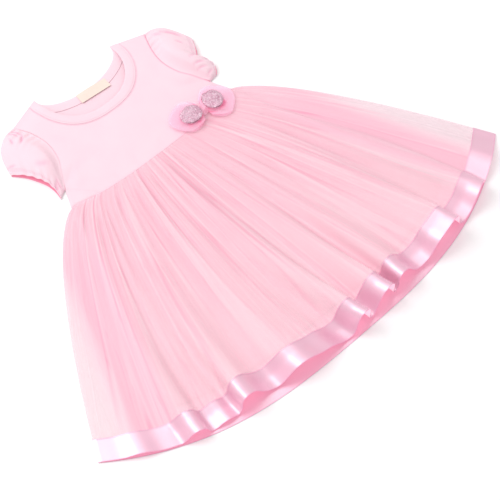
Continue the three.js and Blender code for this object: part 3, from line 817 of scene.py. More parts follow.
def cloth_angle(q, v):
    """Angle of the cloth at q across it and v down it. Waves grow towards the hem, gathers fade."""
    angle = np.zeros(len(q))
    for start, end, crest, rise, fall in WAVES:
        here = (q > start) & (q <= end)
        along = (q[here] - start) / (end - start)
        rising = rise * side_angle(along / crest)
        falling = -fall * side_angle((1 - along) / (1 - crest))
        angle[here] = np.where(along < crest, rising, falling)
    gathered = GATHERS * q
    for shift, count, turn in GATHER_BUNCHES:
        gathered = gathered + shift * np.sin(2 * math.pi * count * q + turn)
    at_side = smooth(np.minimum(q, 1 - q) / SIDE_SHARE)
    strength = GATHER_MEAN
    for share, count, turn in GATHER_UNEVEN:
        strength = strength + share * np.sin(2 * math.pi * count * q + turn)
    gather = GATHER_TURN * strength * np.sin(2 * math.pi * gathered)
    fine = FINE_TURN * np.sin(2 * math.pi * (FINE_COUNT * gathered + FINE_DRIFT * np.sin(19 * q)))
    ripples = RIPPLES * q + RIPPLE_DRIFT * np.sin(9 * q) ** 2
    ripple = RIPPLE_TURN * np.sin(2 * math.pi * ripples + RIPPLE_START)
    angle *= smooth(q / LEFT_FLAT)
    return (angle + ripple * at_side) * v**WAVE_GROWTH + (gather + fine) * at_side * (1 - v) ** GATHER_FADE


LINES = {}


def cloth_line(v):
    """The cloth's line across the skirt at v, summed from its angle: how far across, and how high."""
    key = round(float(v), 9)
    if key not in LINES:
        angle = cloth_angle((np.arange(LINE_STEPS) + 0.5) / LINE_STEPS, key)
        across = np.concatenate([[0], np.cumsum(np.cos(angle))])
        height = np.concatenate([[0], np.cumsum(np.sin(angle))])
        height -= height[-1] * np.arange(LINE_STEPS + 1) / LINE_STEPS
        height *= 2 * skirt_half(key) / across[-1]
        LINES[key] = (across / across[-1], height - height.min())
    return LINES[key]


def tulle_floor(x, v):
    """Lowest height of the front tulle: on the back layer, or on the lining where that is."""
    start = lining_half(v) + STEP_CLEAR
    end = np.minimum(skirt_half(v), start + mix(STEP_WAIST, STEP_HEM, v))
    over_lining = smooth((end - np.abs(x)) / (end - start))
    before_hem = smooth((LINING_END + STEP_DOWN - v) / STEP_DOWN)
    return LAYER + CLOTH + 2 * LAYER * over_lining * before_hem


# Soft folds of the tulle that run down from the waist: share across at the waist and at their lower end,
# where they start and end down the skirt, their width at the lower end and their depth.
TULLE_FOLDS = [
    (-0.93, -0.86, 0.05, 0.72, 7, 1.6),
    (-0.84, -0.80, 0.02, 0.50, 5, 1.2),
    (-0.74, -0.72, 0.08, 0.88, 9, 1.9),
    (-0.66, -0.60, 0.02, 0.60, 5, 1.4),
    (-0.55, -0.53, 0.05, 0.80, 7, 1.8),
    (-0.47, -0.44, 0.02, 0.48, 4, 1.1),
    (-0.38, -0.36, 0.06, 0.86, 8, 1.9),
    (-0.30, -0.25, 0.02, 0.58, 5, 1.3),
    (-0.20, -0.18, 0.05, 0.76, 6, 1.6),
    (-0.12, -0.09, 0.02, 0.52, 4, 1.2),
    (-0.02, -0.03, 0.06, 0.84, 8, 1.8),
    (0.06, 0.08, 0.02, 0.56, 5, 1.3),
    (0.14, 0.16, 0.05, 0.78, 6, 1.5),
    (0.22, 0.24, 0.03, 0.50, 4, 1.1),
    (0.30, 0.33, 0.06, 0.82, 8, 1.7),
    (0.39, 0.42, 0.10, 0.60, 5, 1.2),
    (0.48, 0.50, 0.16, 0.86, 8, 1.6),
    (0.57, 0.60, 0.20, 0.66, 5, 1.2),
    (0.66, 0.68, 0.16, 0.80, 7, 1.6),
    (0.75, 0.76, 0.08, 0.60, 5, 1.2),
    (0.84, 0.85, 0.05, 0.84, 7, 1.5),
    (0.92, 0.92, 0.03, 0.56, 5, 1.1),
]


def tulle_folds(x, v):
    """Depth of the soft folds that run down from the waist."""
    share = x / skirt_half(v)
    depth = np.zeros(len(x))
    for top, low, start, end, width, deep in TULLE_FOLDS:
        along = np.clip((v - start) / (end - start), 0, 1)
        middle = mix(top, low, along) + 0.006 * np.sin(7 * along + 40 * top)
        wide = mix(0.35, 1.0, along) * width
        fade = smooth((v - start) / 0.06 + 0.4) * smooth((end - v) / 0.3)
        depth += deep * fade * np.exp(-(((share - middle) * skirt_half(v) / wide) ** 2))
    return depth


def tulle_front(q, v):
    """Upper face of the front tulle, in mm, and how deep in a fold each point lies, which the tulle paints as
    shade.
    """
    across = np.zeros(len(q))
    height = np.zeros(len(q))
    deepest = np.zeros(len(q))
    steps = np.arange(LINE_STEPS + 1) / LINE_STEPS
    for row in np.unique(v):
        here = v == row
        line_across, line_height = cloth_line(row)
        across[here] = np.interp(q[here], steps, line_across)
        height[here] = np.interp(q[here], steps, line_height)
        window = max(3, int(LINE_STEPS / GATHERS * mix(1.0, 2.6, row)))
        kernel = np.hanning(window)
        mean = np.convolve(np.pad(line_height, window, mode="edge"), kernel / kernel.sum(), "same")
        below = (mean[window:-window] - line_height) / mix(GATHER_DEPTH, WAVE_DEPTH, row)
        deepest[here] = np.interp(q[here], steps, below)
    x = (2 * across - 1) * skirt_half(v)
    y = skirt_plan(x, v, lifted=True)
    far = np.hypot(x - BOW_X, y - BOW_Y) / BOW_REACH
    press = 1 - BOW_SHARE * np.exp(-(far**4))
    at_side = smooth(np.minimum(across, 1 - across) / SIDE_RISE)
    folds = tulle_folds(x, v)
    held = mix(SEAM_HELD, 1.0, smooth(v / SEAM_FADE))
    room = tulle_floor(x, v) + height * at_side * press * held
    z = room - np.minimum(folds * at_side * press, (room - LAYER - CLOTH) * FOLD_ROOM)
    from_side = skirt_half(v) - np.abs(x)
    z = z - EDGE_DROP * (1 - smooth(from_side / EDGE_ROLL))
    # Painted shade: the fold share is deepest in the gathers' valleys and in the soft folds, partly the tulle
    # lying double there
    fold = FOLD_SHADE * np.clip(deepest, -1, 1) * (1 - FOLD_SHADE_FADE * v)
    fold += 0.5 * folds / DEEPEST_FOLD
    return np.column_stack([x, y, z]), fold


# Materials

# How much of what lies below the tulle hides: single, less where bare, more in a fold and where double
TULLE_COVER = 0.5
BARE_COVER = 0.24
FOLD_COVER = 0.2
LAYERS_COVER = 0.45
NET_COVER = 0.15
LAYERS_TINT = 0.6

# Painted glow of each cloth: emission that stands in for light coming through thin cloth and lifts its shade
TULLE_GLOW = 0.11
ORGANZA_GLOW = 0.16
REVERSE_GLOW = 0.4
GLITTER_GLOW = 0.12

# How the colours deepen by channel: the jersey in its mottle and in the painted shade of its creases and
# seams, the reverse side in its mottle
JERSEY_MOTTLE_AND_SHADE = (0.97, 0.72, 0.82)
REVERSE_DEEP = (1, 0.8, 0.88)
# Painted shade: the jersey's inside, a darker copy of the jersey for the shade inside the sleeves
JERSEY_INSIDE_SHADED = 0xD98FA6

# Pitch of knit and weave, in metres
KNIT = 0.0009
LINING_WEAVE = 0.0005
ORGANZA_WEAVE = 0.0004
LABEL_WEAVE = 0.0007
SATIN_RIB = 0.0005


def put(tree, kind, values=None, **settings):
    """Adds a node with settings and input values. A value that is a socket is linked."""
    node = tree.nodes.new(kind)
    for name, value in settings.items():
        setattr(node, name, value)
    for name, value in (values or {}).items():
        if isinstance(value, bpy.types.NodeSocket):
            tree.links.new(value, node.inputs[name])
        else:
            node.inputs[name].default_value = value
    return node


def maths(tree, operation, a, b=None, clamp=False):
    values = {0: a}
    if b is not None:
        values[1] = b
    return put(tree, "ShaderNodeMath", values, operation=operation, use_clamp=clamp).outputs[0]


def plus(tree, a, b, clamp=False):
    return maths(tree, "ADD", a, b, clamp)


def minus(tree, a, b, clamp=False):
    return maths(tree, "SUBTRACT", a, b, clamp)


def times(tree, a, b, clamp=False):
    return maths(tree, "MULTIPLY", a, b, clamp)


def over(tree, a, b, clamp=False):
    return maths(tree, "DIVIDE", a, b, clamp)


def weighted(tree, *terms, clamp=False):
    """Sum of values, each times its weight."""
    total = times(tree, *terms[0])
    for count, (value, weight) in enumerate(terms[1:], 2):
        total = plus(tree, total, times(tree, value, weight), clamp and count == len(terms))
    return total


def blend_colours(tree, factor, a, b):
    """Mix of two colours, each a socket or a colour."""
    node = put(tree, "ShaderNodeMix", data_type="RGBA", clamp_factor=True)
    for index, value in ((0, factor), (6, a), (7, b)):
        if isinstance(value, bpy.types.NodeSocket):
            tree.links.new(value, node.inputs[index])
        elif index == 0:
            node.inputs[0].default_value = value
        else:
            node.inputs[index].default_value = (*value[:3], 1)
    return node.outputs[2]


def new_group(name, inputs, outputs):
    """An empty shader node group with these named sockets."""
    group = bpy.data.node_groups.new(name, "ShaderNodeTree")
    for socket, (kind, value) in inputs.items():
        made = group.interface.new_socket(name=socket, in_out="INPUT", socket_type=kind)
        if value is not None:
            made.default_value = value
    for socket in outputs:
        group.interface.new_socket(name=socket, in_out="OUTPUT", socket_type="NodeSocketFloat")
    return group, group.nodes.new("NodeGroupInput").outputs, group.nodes.new("NodeGroupOutput").inputs


def group_knit():
    """Height of fine jersey stitches: columns of V shapes."""
    group, given, result = new_group(
        "Jersey knit",
        {"Place": ("NodeSocketVector", None), "Pitch": ("NodeSocketFloat", KNIT)},
        ["Height"],
    )
    parts = put(group, "ShaderNodeSeparateXYZ", {0: given["Place"]}).outputs
    across = over(group, parts[0], given["Pitch"])
    down = over(group, parts[1], given["Pitch"])
    column = maths(group, "ABSOLUTE", maths(group, "SINE", times(group, across, math.pi)))
    centred = minus(group, maths(group, "FRACT", across), 0.5)
    slant = times(group, maths(group, "ABSOLUTE", centred), 0.9)
    row = plus(group, times(group, down, 1.35), slant)
    loop = maths(group, "SINE", times(group, row, 2 * math.pi))
    shaped = plus(group, times(group, loop, 0.28), 0.72)
    group.links.new(times(group, column, shaped), result["Height"])
    return group


def group_weave():
    """Height of a plain weave."""
    group, given, result = new_group(
        "Plain weave",
        {"Place": ("NodeSocketVector", None), "Pitch": ("NodeSocketFloat", LINING_WEAVE)},
        ["Height"],
    )
    parts = put(group, "ShaderNodeSeparateXYZ", {0: given["Place"]}).outputs
    waves = []
    for part in (parts[0], parts[1]):
        turn = times(group, over(group, part, given["Pitch"]), math.pi)
        waves.append(maths(group, "SINE", turn))
    product = times(group, waves[0], waves[1])
    group.links.new(plus(group, times(group, product, 0.5), 0.5), result["Height"])
    return group


def group_net():
    """Threads of a fine net, 1 on a thread and 0 in an opening."""
    group, given, result = new_group(
        "Tulle net",
        {"Place": ("NodeSocketVector", None), "Cell": ("NodeSocketFloat", 0.0011)},
        ["Threads"],
    )
    scale = over(group, 1.0, given["Cell"])
    cells = put(
        group,
        "ShaderNodeTexVoronoi",
        {"Vector": given["Place"], "Scale": scale, "Randomness": 0.22},
        voronoi_dimensions="2D",
        feature="DISTANCE_TO_EDGE",
    )
    open_share = over(group, cells.outputs["Distance"], 0.16, clamp=True)
    group.links.new(minus(group, 1.0, open_share), result["Threads"])
    return group


def group_mottle():
    """Soft uneven shade of dyed cloth, around 0.5."""
    group, given, result = new_group(
        "Mottle",
        {"Place": ("NodeSocketVector", None), "Size": ("NodeSocketFloat", 0.03)},
        ["Shade", "Fuzz"],
    )
    scale = over(group, 1.0, given["Size"])
    broad = put(group, "ShaderNodeTexNoise", {"Vector": given["Place"], "Scale": scale, "Detail": 3.0})
    fine = put(group, "ShaderNodeTexNoise", {"Vector": given["Place"], "Scale": 2600.0, "Detail": 2.0})
    group.links.new(broad.outputs["Fac"], result["Shade"])
    group.links.new(fine.outputs["Fac"], result["Fuzz"])
    return group


def group_fold_lines():
    """Fine uneven folds that run down the cloth: thin dark lines of painted shade, light ridges of painted
    highlight beside them and a height.
    """
    group, given, result = new_group(
        "Fold lines",
        {"Place": ("NodeSocketVector", None), "Spacing": ("NodeSocketFloat", 0.011)},
        ["Line", "Ridge", "Height"],
    )
    parts = put(group, "ShaderNodeSeparateXYZ", {0: given["Place"]}).outputs
    across = over(group, parts[0], given["Spacing"])
    down = over(group, parts[1], times(group, given["Spacing"], 34.0))
    stretched = put(group, "ShaderNodeCombineXYZ", {0: across, 1: down}).outputs[0]
    noise = put(
        group,
        "ShaderNodeTexNoise",
        {"Vector": stretched, "Scale": 1.0, "Detail": 1.6, "Roughness": 0.55},
        noise_dimensions="2D",
    ).outputs["Fac"]
    for name, middle, wide in (("Line", 0.47, 0.02), ("Ridge", 0.525, 0.04)):
        off = maths(group, "ABSOLUTE", minus(group, noise, middle))
        near = minus(group, 1.0, over(group, off, wide), clamp=True)
        group.links.new(near, result[name])
    group.links.new(noise, result["Height"])
    return group


GROUPS = {}


def shared(name):
    """A shared node group, built once."""
    builders = {
        "knit": group_knit,
        "weave": group_weave,
        "net": group_net,
        "mottle": group_mottle,
        "fold lines": group_fold_lines,
    }
    if name not in GROUPS:
        GROUPS[name] = builders[name]()
    return GROUPS[name]


def use_group(tree, name, values):
    return put(tree, "ShaderNodeGroup", values, node_tree=shared(name)).outputs


def new_material(name, roughness, sheen=0.0, specular=0.3):
    """A material with its tree, its shader and its two sets of coordinates."""
    material = bpy.data.materials.new(name)
    material.use_nodes = True
    tree = material.node_tree
    shader = tree.nodes["Principled BSDF"]
    shader.inputs["Roughness"].default_value = roughness
    shader.inputs["Sheen Weight"].default_value = sheen
    shader.inputs["Sheen Roughness"].default_value = 0.5
    shader.inputs["Specular IOR Level"].default_value = specular
    places = put(tree, "ShaderNodeTexCoord")
    return material, tree, shader, places.outputs["UV"], places.outputs["Object"]


def raise_normal(tree, shader, height, distance_m, strength=1.0):
    bump = put(tree, "ShaderNodeBump", {"Height": height, "Distance": distance_m, "Strength": strength})
    tree.links.new(bump.outputs["Normal"], shader.inputs["Normal"])


def shaded(tree, shader, factor, a, b):
    tree.links.new(blend_colours(tree, factor, a, b), shader.inputs["Base Color"])


def glow(shader, colour, strength):
    """Painted glow: emission that stands in for light coming through a thin cloth from behind."""
    shader.inputs["Emission Color"].default_value = (*colour, 1)
    shader.inputs["Emission Strength"].default_value = strength


def darker(colour, share):
    return tuple(c * share for c in colour)


def share_of(tree, name):
    """A share stored at the vertices."""
    return put(tree, "ShaderNodeAttribute", attribute_name=name).outputs["Fac"]


def jersey_material(colour):
    material, tree, shader, uv, place = new_material("Pink jersey", 0.88, sheen=0.25)
    mottle = use_group(tree, "mottle", {"Place": place, "Size": 0.028})
    knit = use_group(tree, "knit", {"Place": uv, "Pitch": KNIT})
    fold = share_of(tree, "fold")
    # Painted shade: the stored fold share darkens the jersey in its creases and along its seams, on top of
    # its mottle
    shade = weighted(tree, (mottle["Shade"], 0.3), (fold, 0.9))
    shaded(tree, shader, shade, colour, tuple(np.multiply(colour, JERSEY_MOTTLE_AND_SHADE)))
    height = plus(tree, knit["Height"], times(tree, mottle["Fuzz"], 0.5))
    raise_normal(tree, shader, height, 0.00012, 0.6)
    return material


def tulle_material(colour, layered_and_shade_colour, pale, cell):
    material, tree, shader, uv, _ = new_material("Pink tulle", 0.8, sheen=0.2)
    net = use_group(tree, "net", {"Place": uv, "Cell": cell})
    broad = use_group(tree, "fold lines", {"Place": uv, "Spacing": 0.03})
    fine = use_group(tree, "fold lines", {"Place": uv, "Spacing": 0.009})
    fold = share_of(tree, "fold")
    # Painted shade in the fold lines and by the fold share, and a painted highlight on the ridges beside
    # them, partly the tulle lying double, which also hides more of what is below
    dark = weighted(tree, (broad["Line"], 0.6), (fine["Line"], 0.42), (fold, 0.5), clamp=True)
    light = weighted(tree, (broad["Ridge"], 0.6), (fine["Ridge"], 0.25), clamp=True)
    bare = share_of(tree, "bare")
    body = blend_colours(tree, times(tree, light, 0.7), colour, pale)
    body = blend_colours(tree, dark, body, layered_and_shade_colour)
    layers = share_of(tree, "layers")
    body = blend_colours(tree, times(tree, layers, LAYERS_TINT), body, layered_and_shade_colour)
    shaded(tree, shader, times(tree, bare, 0.85), body, pale)
    cover = minus(tree, TULLE_COVER, times(tree, bare, BARE_COVER))
    cover = plus(tree, cover, times(tree, dark, FOLD_COVER))
    cover = plus(tree, cover, times(tree, layers, LAYERS_COVER))
    alpha = plus(tree, times(tree, net["Threads"], NET_COVER), cover, clamp=True)
    tree.links.new(alpha, shader.inputs["Alpha"])
    height = plus(tree, broad["Height"], times(tree, fine["Height"], 0.35))
    raise_normal(tree, shader, height, 0.003, 0.4)
    glow(shader, colour, TULLE_GLOW)
    return material


def lining_material(colour):
    material, tree, shader, uv, place = new_material("Pink lining", 0.8)
    mottle = use_group(tree, "mottle", {"Place": place, "Size": 0.05})
    weave = use_group(tree, "weave", {"Place": uv, "Pitch": LINING_WEAVE})
    shaded(tree, shader, mottle["Shade"], colour, darker(colour, 0.9))
    raise_normal(tree, shader, weave["Height"], 0.0001, 0.5)
    return material


def satin_material(colour, edge_colour, width_m):
    """Satin ribbon. Its UV runs along the ribbon and across it from 0 to width_m."""
    material, tree, shader, uv, place = new_material("Pink satin ribbon", 0.3, specular=0.8)
    shader.inputs["Metallic"].default_value = 0.3
    shader.inputs["Coat Weight"].default_value = 1.0
    shader.inputs["Coat IOR"].default_value = 2.3
    shader.inputs["Coat Roughness"].default_value = 0.36
    parts = put(tree, "ShaderNodeSeparateXYZ", {0: uv}).outputs
    share = over(tree, parts[1], width_m)
    from_middle = times(tree, maths(tree, "ABSOLUTE", minus(tree, share, 0.5)), 2.0)
    woven_edge = times(tree, minus(tree, from_middle, 0.9), 14.0, clamp=True)
    mottle = use_group(tree, "mottle", {"Place": place, "Size": 0.02})
    shade = times(tree, mottle["Shade"], 0.25)
    body = blend_colours(tree, shade, colour, darker(colour, 0.9))
    shaded(tree, shader, woven_edge, body, edge_colour)
    rough = plus(tree, times(tree, mottle["Fuzz"], 0.08), 0.38)
    rough = plus(tree, rough, times(tree, woven_edge, 0.3))
    tree.links.new(rough, shader.inputs["Roughness"])
    ribs = maths(tree, "SINE", times(tree, parts[0], 2 * math.pi / SATIN_RIB))
    height = plus(tree, times(tree, ribs, 0.3), woven_edge)
    raise_normal(tree, shader, height, 0.00012, 0.5)
    return material


def reverse_material(name, colour, roughness):
    """Inner side of a cloth."""
    material, tree, shader, _, place = new_material(name, roughness, sheen=0.15)
    mottle = use_group(tree, "mottle", {"Place": place, "Size": 0.02})
    shaded(tree, shader, mottle["Shade"], colour, tuple(np.multiply(colour, REVERSE_DEEP)))
    raise_normal(tree, shader, mottle["Fuzz"], 0.0001, 0.4)
    glow(shader, colour, REVERSE_GLOW)
    return material


def organza_material(colour, layered_and_shade_colour):
    material, tree, shader, uv, _ = new_material("Bright pink organza", 0.42, sheen=0.2, specular=0.5)
    fold = share_of(tree, "fold")
    weave = use_group(tree, "weave", {"Place": uv, "Pitch": ORGANZA_WEAVE})
    # Painted shade by the fold share, partly the organza bunched double
    shaded(tree, shader, fold, colour, layered_and_shade_colour)
    alpha = plus(tree, times(tree, fold, 0.65), 0.2, clamp=True)
    tree.links.new(alpha, shader.inputs["Alpha"])
    raise_normal(tree, shader, weave["Height"], 0.00006, 0.5)
    glow(shader, colour, ORGANZA_GLOW)
    return material


def glitter_material(colour):
    """Ground of the glitter ribbon: closely set flakes at random tilts."""
    material, tree, shader, _, place = new_material("Silver pink glitter", 0.45, specular=0.5)
    cells = put(tree, "ShaderNodeTexVoronoi", {"Vector": place, "Scale": 1500.0}, feature="F1")
    parts = put(tree, "ShaderNodeSeparateXYZ", {0: cells.outputs["Color"]}).outputs
    # Random tone of each flake, partly painted glints where a flake's tilt would catch the light
    flake_tone_and_glint = blend_colours(tree, parts[0], darker(colour, 0.62), (0.98, 0.86, 0.93))
    shaded(tree, shader, times(tree, parts[1], 0.45), flake_tone_and_glint, colour)
    tree.links.new(times(tree, parts[2], 0.4), shader.inputs["Metallic"])
    raise_normal(tree, shader, parts[1], 0.0004, 0.6)
    glow(shader, colour, GLITTER_GLOW)
    return material


def flake_material(colour):
    material, tree, shader, _, place = new_material("Glitter flake", 0.25, specular=0.8)
    cells = put(tree, "ShaderNodeTexVoronoi", {"Vector": place, "Scale": 700.0}, feature="F1")
    parts = put(tree, "ShaderNodeSeparateXYZ", {0: cells.outputs["Color"]}).outputs
    shaded(tree, shader, parts[0], (0.97, 0.9, 0.95), colour)
    tree.links.new(plus(tree, times(tree, parts[1], 0.4), 0.3), shader.inputs["Metallic"])
    return material


def label_material(colour):
    material, tree, shader, uv, place = new_material("Woven label", 0.6, specular=0.35)
    weave = use_group(tree, "weave", {"Place": uv, "Pitch": LABEL_WEAVE})
    mottle = use_group(tree, "mottle", {"Place": place, "Size": 0.006})
    shaded(tree, shader, times(tree, mottle["Shade"], 0.5), colour, darker(colour, 0.86))
    raise_normal(tree, shader, weave["Height"], 0.00015, 0.8)
    return material


def thread_material(colour):
    material, tree, shader, _, place = new_material("Sewing thread", 0.6, sheen=0.2)
    twist = put(tree, "ShaderNodeTexNoise", {"Vector": place, "Scale": 1800.0, "Detail": 2.0})
    shaded(tree, shader, twist.outputs["Fac"], colour, darker(colour, 0.8))
    raise_normal(tree, shader, twist.outputs["Fac"], 0.0001, 0.6)
    return material


def floor_material():
    material, tree, shader, _, place = new_material("White floor", 0.9, specular=0.1)
    noise = put(tree, "ShaderNodeTexNoise", {"Vector": place, "Scale": 3.0, "Detail": 2.0})
    shaded(tree, shader, noise.outputs["Fac"], (0.97, 0.97, 0.97), (0.98, 0.98, 0.98))
    return material


MATERIALS = {}


def finish_of(name):
    """The finished material of a cloth, built once from the scene's colours."""
    chosen = bpy.context.scene.dress_colours
    cell = bpy.context.scene.dress_sizes.mesh_cell

    def colours(*names):
        return [tuple(getattr(chosen, name)) for name in names]

    builders = {
        "jersey": lambda: jersey_material(*colours("jersey")),
        "jersey inside": lambda: reverse_material("Jersey inside", tint(JERSEY_INSIDE_SHADED), 0.9),
        "satin reverse": lambda: reverse_material("Satin reverse", *colours("satin_reverse"), 0.45),
        "tulle": lambda: tulle_material(*colours("tulle", "tulle_double_and_shade", "tulle_pale"), cell),
        "lining": lambda: lining_material(*colours("lining")),
        "satin": lambda: satin_material(*colours("satin", "satin_edge"), RIBBON * MM),
        "organza": lambda: organza_material(*colours("organza", "organza_bunched_and_shade")),
        "glitter": lambda: glitter_material(*colours("glitter")),
        "flake": lambda: flake_material(*colours("glitter")),
        "label": lambda: label_material(*colours("label")),
        "thread": lambda: thread_material(*colours("thread")),
    }
    if name not in MATERIALS:
        MATERIALS[name] = builders[name]()
    return MATERIALS[name]


# Pieces

FRONT_GAP = 0.12
BACK_GAP = 0.05
CREASE_SHADE = 0.3
WAIST_SHADE = 0.5
# Painted shade along the bodice's seams, where they show as a dark line: half width and strength
SEAM_SHADE_LINES = {"right armhole": (1.6, 0.75), "left armhole": (1.4, 0.25), "neck": (1.7, 0.7)}
SEAM_LINE = 1.6
# Heights between which the two runs of the neck binding lie: below the front's top, and behind
BINDING_DEEP = 1.4
BACK_BINDING = (0.02, 1.3)
BINDING_PUFF = 0.35
# Rows of stitches beside the neck seam and how high they lie on the cloth
NECK_ROWS = ((1.6, 0.1), (-2.2, BINDING_STEP + 0.2))
STITCH_RISE = 0.05
HEM_ROW = 1.5
LABEL_SIZE = (44, 14)
LABEL_PLACE = (2, 113.5, 2.3)
LABEL_TURN = math.radians(-4)
LABEL_THICK = 0.4
LABEL_BEND = 0.5
LABEL_RIPPLE = 0.25


class DRESS_OT_bodice(bpy.types.Operator):
    """Builds the front and back panels of the jersey bodice"""

    bl_idname = "dress.bodice"
    bl_label = "Bodice"

    def execute(self, context):
        sizes = context.scene.dress_sizes
        thin = sizes.cloth / MM
        back_outline = bodice_outline(back_seam(BACK_GAP))
        back = panel("bodice_back_panel", back_outline, BACK_SPACING, lambda p: np.full(len(p), thin))
        neck_seam = front_seam(FRONT_GAP)
        front_outline = bodice_outline(neck_seam)
        sides = front_outline[np.abs(front_outline[:, 0]) > 90]
        runs = [sides[sides[:, 0] * side > 0] for side in (1, -1)]
        right_arm, left_arm = (run[run[:, 1] >= SIDE_SEAM_TOP[1]] for run in runs)
        right_side, left_side = (run[run[:, 1] <= SIDE_SEAM_TOP[1] + 1] for run in runs)

        def height(p):
            near = np.minimum(distance(p, right_side, closed=False), distance(p, left_side, closed=False))
            free = smooth(near / EDGE_ROLL)
            crease = crease_depth(p[:, 0], p[:, 1], BODICE_CREASES) * free
            return bodice_top(p[:, 0], p[:, 1]) - crease - BODICE_DROP * (1 - free)

        front = panel("bodice_front_panel", front_outline, FRONT_SPACING, height)
        place = places_mm(front)
        # Painted shade of the front bodice, stored as its fold share: in its creases, along the armhole and
        # neck seams and just above the waist seam
        shade = crease_depth(place[:, 0], place[:, 1], BODICE_CREASES) * CREASE_SHADE
        for run, seam in ((right_arm, "right armhole"), (left_arm, "left armhole"), (neck_seam, "neck")):
            half_width, strength = SEAM_SHADE_LINES[seam]
            gap = distance(place[:, :2], run, closed=False)
            shade = np.maximum(shade, smooth(half_width - gap) * strength)
        above_waist = place[:, 1] - waist_seam(place[:, 0])
        give_share(front, "fold", np.maximum(shade, smooth(SEAM_LINE - above_waist) * WAIST_SHADE))
        for piece, node in ((back, "bodice_back"), (front, "bodice_front")):
            finish_sheet(piece, "jersey", sizes.cloth, 50, [node])
        declare_panel(back_outline)
        declare_panel(front_outline)
        return {"FINISHED"}


def binding_strip(name, seam_run, edge_run, base):
    """A strip folded over the neck's edge, from the seam below it to the seam above it."""
    at = np.linspace(0, 1, len(seam_run))

    def surface(u, v):
        side = np.sign(2 * u - 1)
        across = 1 - np.abs(2 * u - 1)
        seam, edge = (np.array([np.interp(v, at, part) for part in run.T]) for run in (seam_run, edge_run))
        x, y = mix(seam, edge, across)
        floor, ceiling = base(x, y)
        rounding = np.clip(1 - across**14, 0, 1) ** 0.5
        middle = (floor + ceiling) / 2
        puff = BINDING_PUFF * np.sin(math.pi * across) * (side > 0)
        z = middle + side * (ceiling - floor) / 2 * rounding + puff
        return np.column_stack([x, y, z])

    length = float(np.hypot(*np.diff(seam_run, axis=0).T).sum())

    def flat(u, v):
        return np.column_stack([v * length, (2 * u - 1) * BINDING])

    piece, _, _ = grid_sheet(name, 28, 150, surface, flat)
    return piece, length


class DRESS_OT_neck(bpy.types.Operator):
    """Builds the neck binding, its stitches and the woven label"""

    bl_idname = "dress.neck"
    bl_label = "Neck"

    def execute(self, context):
        sizes = context.scene.dress_sizes

        def front_base(x, y):
            top = bodice_top(x, y) + BINDING_STEP
            return top - BINDING_DEEP, top

        def back_base(x, y):
            return (np.full(np.shape(x), height) for height in BACK_BINDING)

        for side, seam_run, edge_run, base in (
            ("front", front_seam(), front_edge(), front_base),
            ("back", back_seam(), back_edge(), back_base),
        ):
            piece, length = binding_strip(f"neck_binding_{side}_strip", seam_run, edge_run, base)
            finish_sheet(piece, "jersey", sizes.cloth, 60, [f"neck_binding_{side}"])
        rows = []
        for gap, rise in NECK_ROWS:
            run = front_seam(gap)[2:-2]
            rows.append(np.column_stack([run, bodice_top(run[:, 0], run[:, 1]) + rise]))
        stitches("neck_stitches", rows, sizes, "jersey")
        self.label()
        return {"FINISHED"}

    def label(self):
        width, height = LABEL_SIZE
        x0, y0, base = LABEL_PLACE

        def surface(u, v):
            x = (u - 0.5) * width
            y = (0.5 - v) * height
            z = base + LABEL_BEND * np.sin(math.pi * u) + LABEL_RIPPLE * np.sin(5 * u + 2 * v)
            px = x0 + x * math.cos(LABEL_TURN) - y * math.sin(LABEL_TURN)
            py = y0 + x * math.sin(LABEL_TURN) + y * math.cos(LABEL_TURN)
            return np.column_stack([px, py, z])

        def flat(u, v):
            return np.column_stack([u * width, (1 - v) * height])

        piece, _, _ = grid_sheet("neck_label", 44, 16, surface, flat)
        finish_sheet(piece, "label", LABEL_THICK * MM, 40, ["label"])


class DRESS_OT_sleeves(bpy.types.Operator):
    """Builds the two puffed cap sleeves"""

    bl_idname = "dress.sleeves"
    bl_label = "Sleeves"

    def execute(self, context):
        for name, sleeve in SLEEVES.items():
            self.puff(context.scene.dress_sizes, name, sleeve)
        return {"FINISHED"}

    def puff(self, sizes, name, sleeve):
        """One sleeve: u runs round it, through the front and back again, and v from armhole to hem."""
        folds = {}

        def surface(u, v):
            across = (1 - np.cos(2 * math.pi * u)) / 2
            plan = sleeve_plan(sleeve, v, across)
            round_off = np.clip(np.sqrt(across * (1 - across)) / SLEEVE_ROUND, 0, 1) ** 0.8
            middle = SLEEVE_EDGE / 2
            beyond = sleeve["back"] * smooth((v - 0.7) / 0.3) * np.sin(math.pi * across) ** 0.3
            plan[:, 0] += np.where(u > 0.5, beyond, 0)
            x = sleeve["side"] * plan[:, 0]
            crease = crease_depth(x, plan[:, 1], sleeve["creases"])
            top = sleeve_top(sleeve, v, across) - crease * smooth(v / 0.1)
            front = u <= 0.5
            z = np.where(front, middle + (top - middle) * round_off, middle * (1 - round_off) + 0.02)
            # Painted shade, stored as the fold share: in the creases, along the armhole seam, at the elastic
            # row and on the inner side near the hem
            seam = sleeve["seam"] * smooth((0.035 - v) / 0.03)
            hem_row = ELASTIC_SHADE * np.exp(-(((v - ELASTIC_MIDDLE) / ELASTIC_WIDTH) ** 2))
            inner = INNER_SHADE * smooth((v - INNER_FROM) / 0.15) * ~front
            folds["value"] = np.maximum.reduce([crease * 0.8, seam, hem_row, inner])
            return np.column_stack([x, plan[:, 1], z])

        def flat(u, v):
            return np.column_stack([u * SLEEVE_CLOTH[0], (1 - v) * SLEEVE_CLOTH[1]])

        piece, _, _ = grid_sheet(f"sleeve_{name}_puff", 260, 84, surface, flat, share=folds, joined=True)
        reverse = finish_of("jersey inside")
        finish_sheet(piece, "jersey", sizes.cloth * SLEEVE_THICK, 60, [f"sleeve_{name}"], reverse)
        u = (1 - np.sqrt(np.linspace(0, 1, 120))[::-1]) * 0.44 + 0.05
        rows = [surface(u, np.full(len(u), along)) + (0, 0, STITCH_RISE) for along in ELASTIC_ROWS]
        stitches(f"sleeve_{name}_stitches", rows, sizes, "jersey")


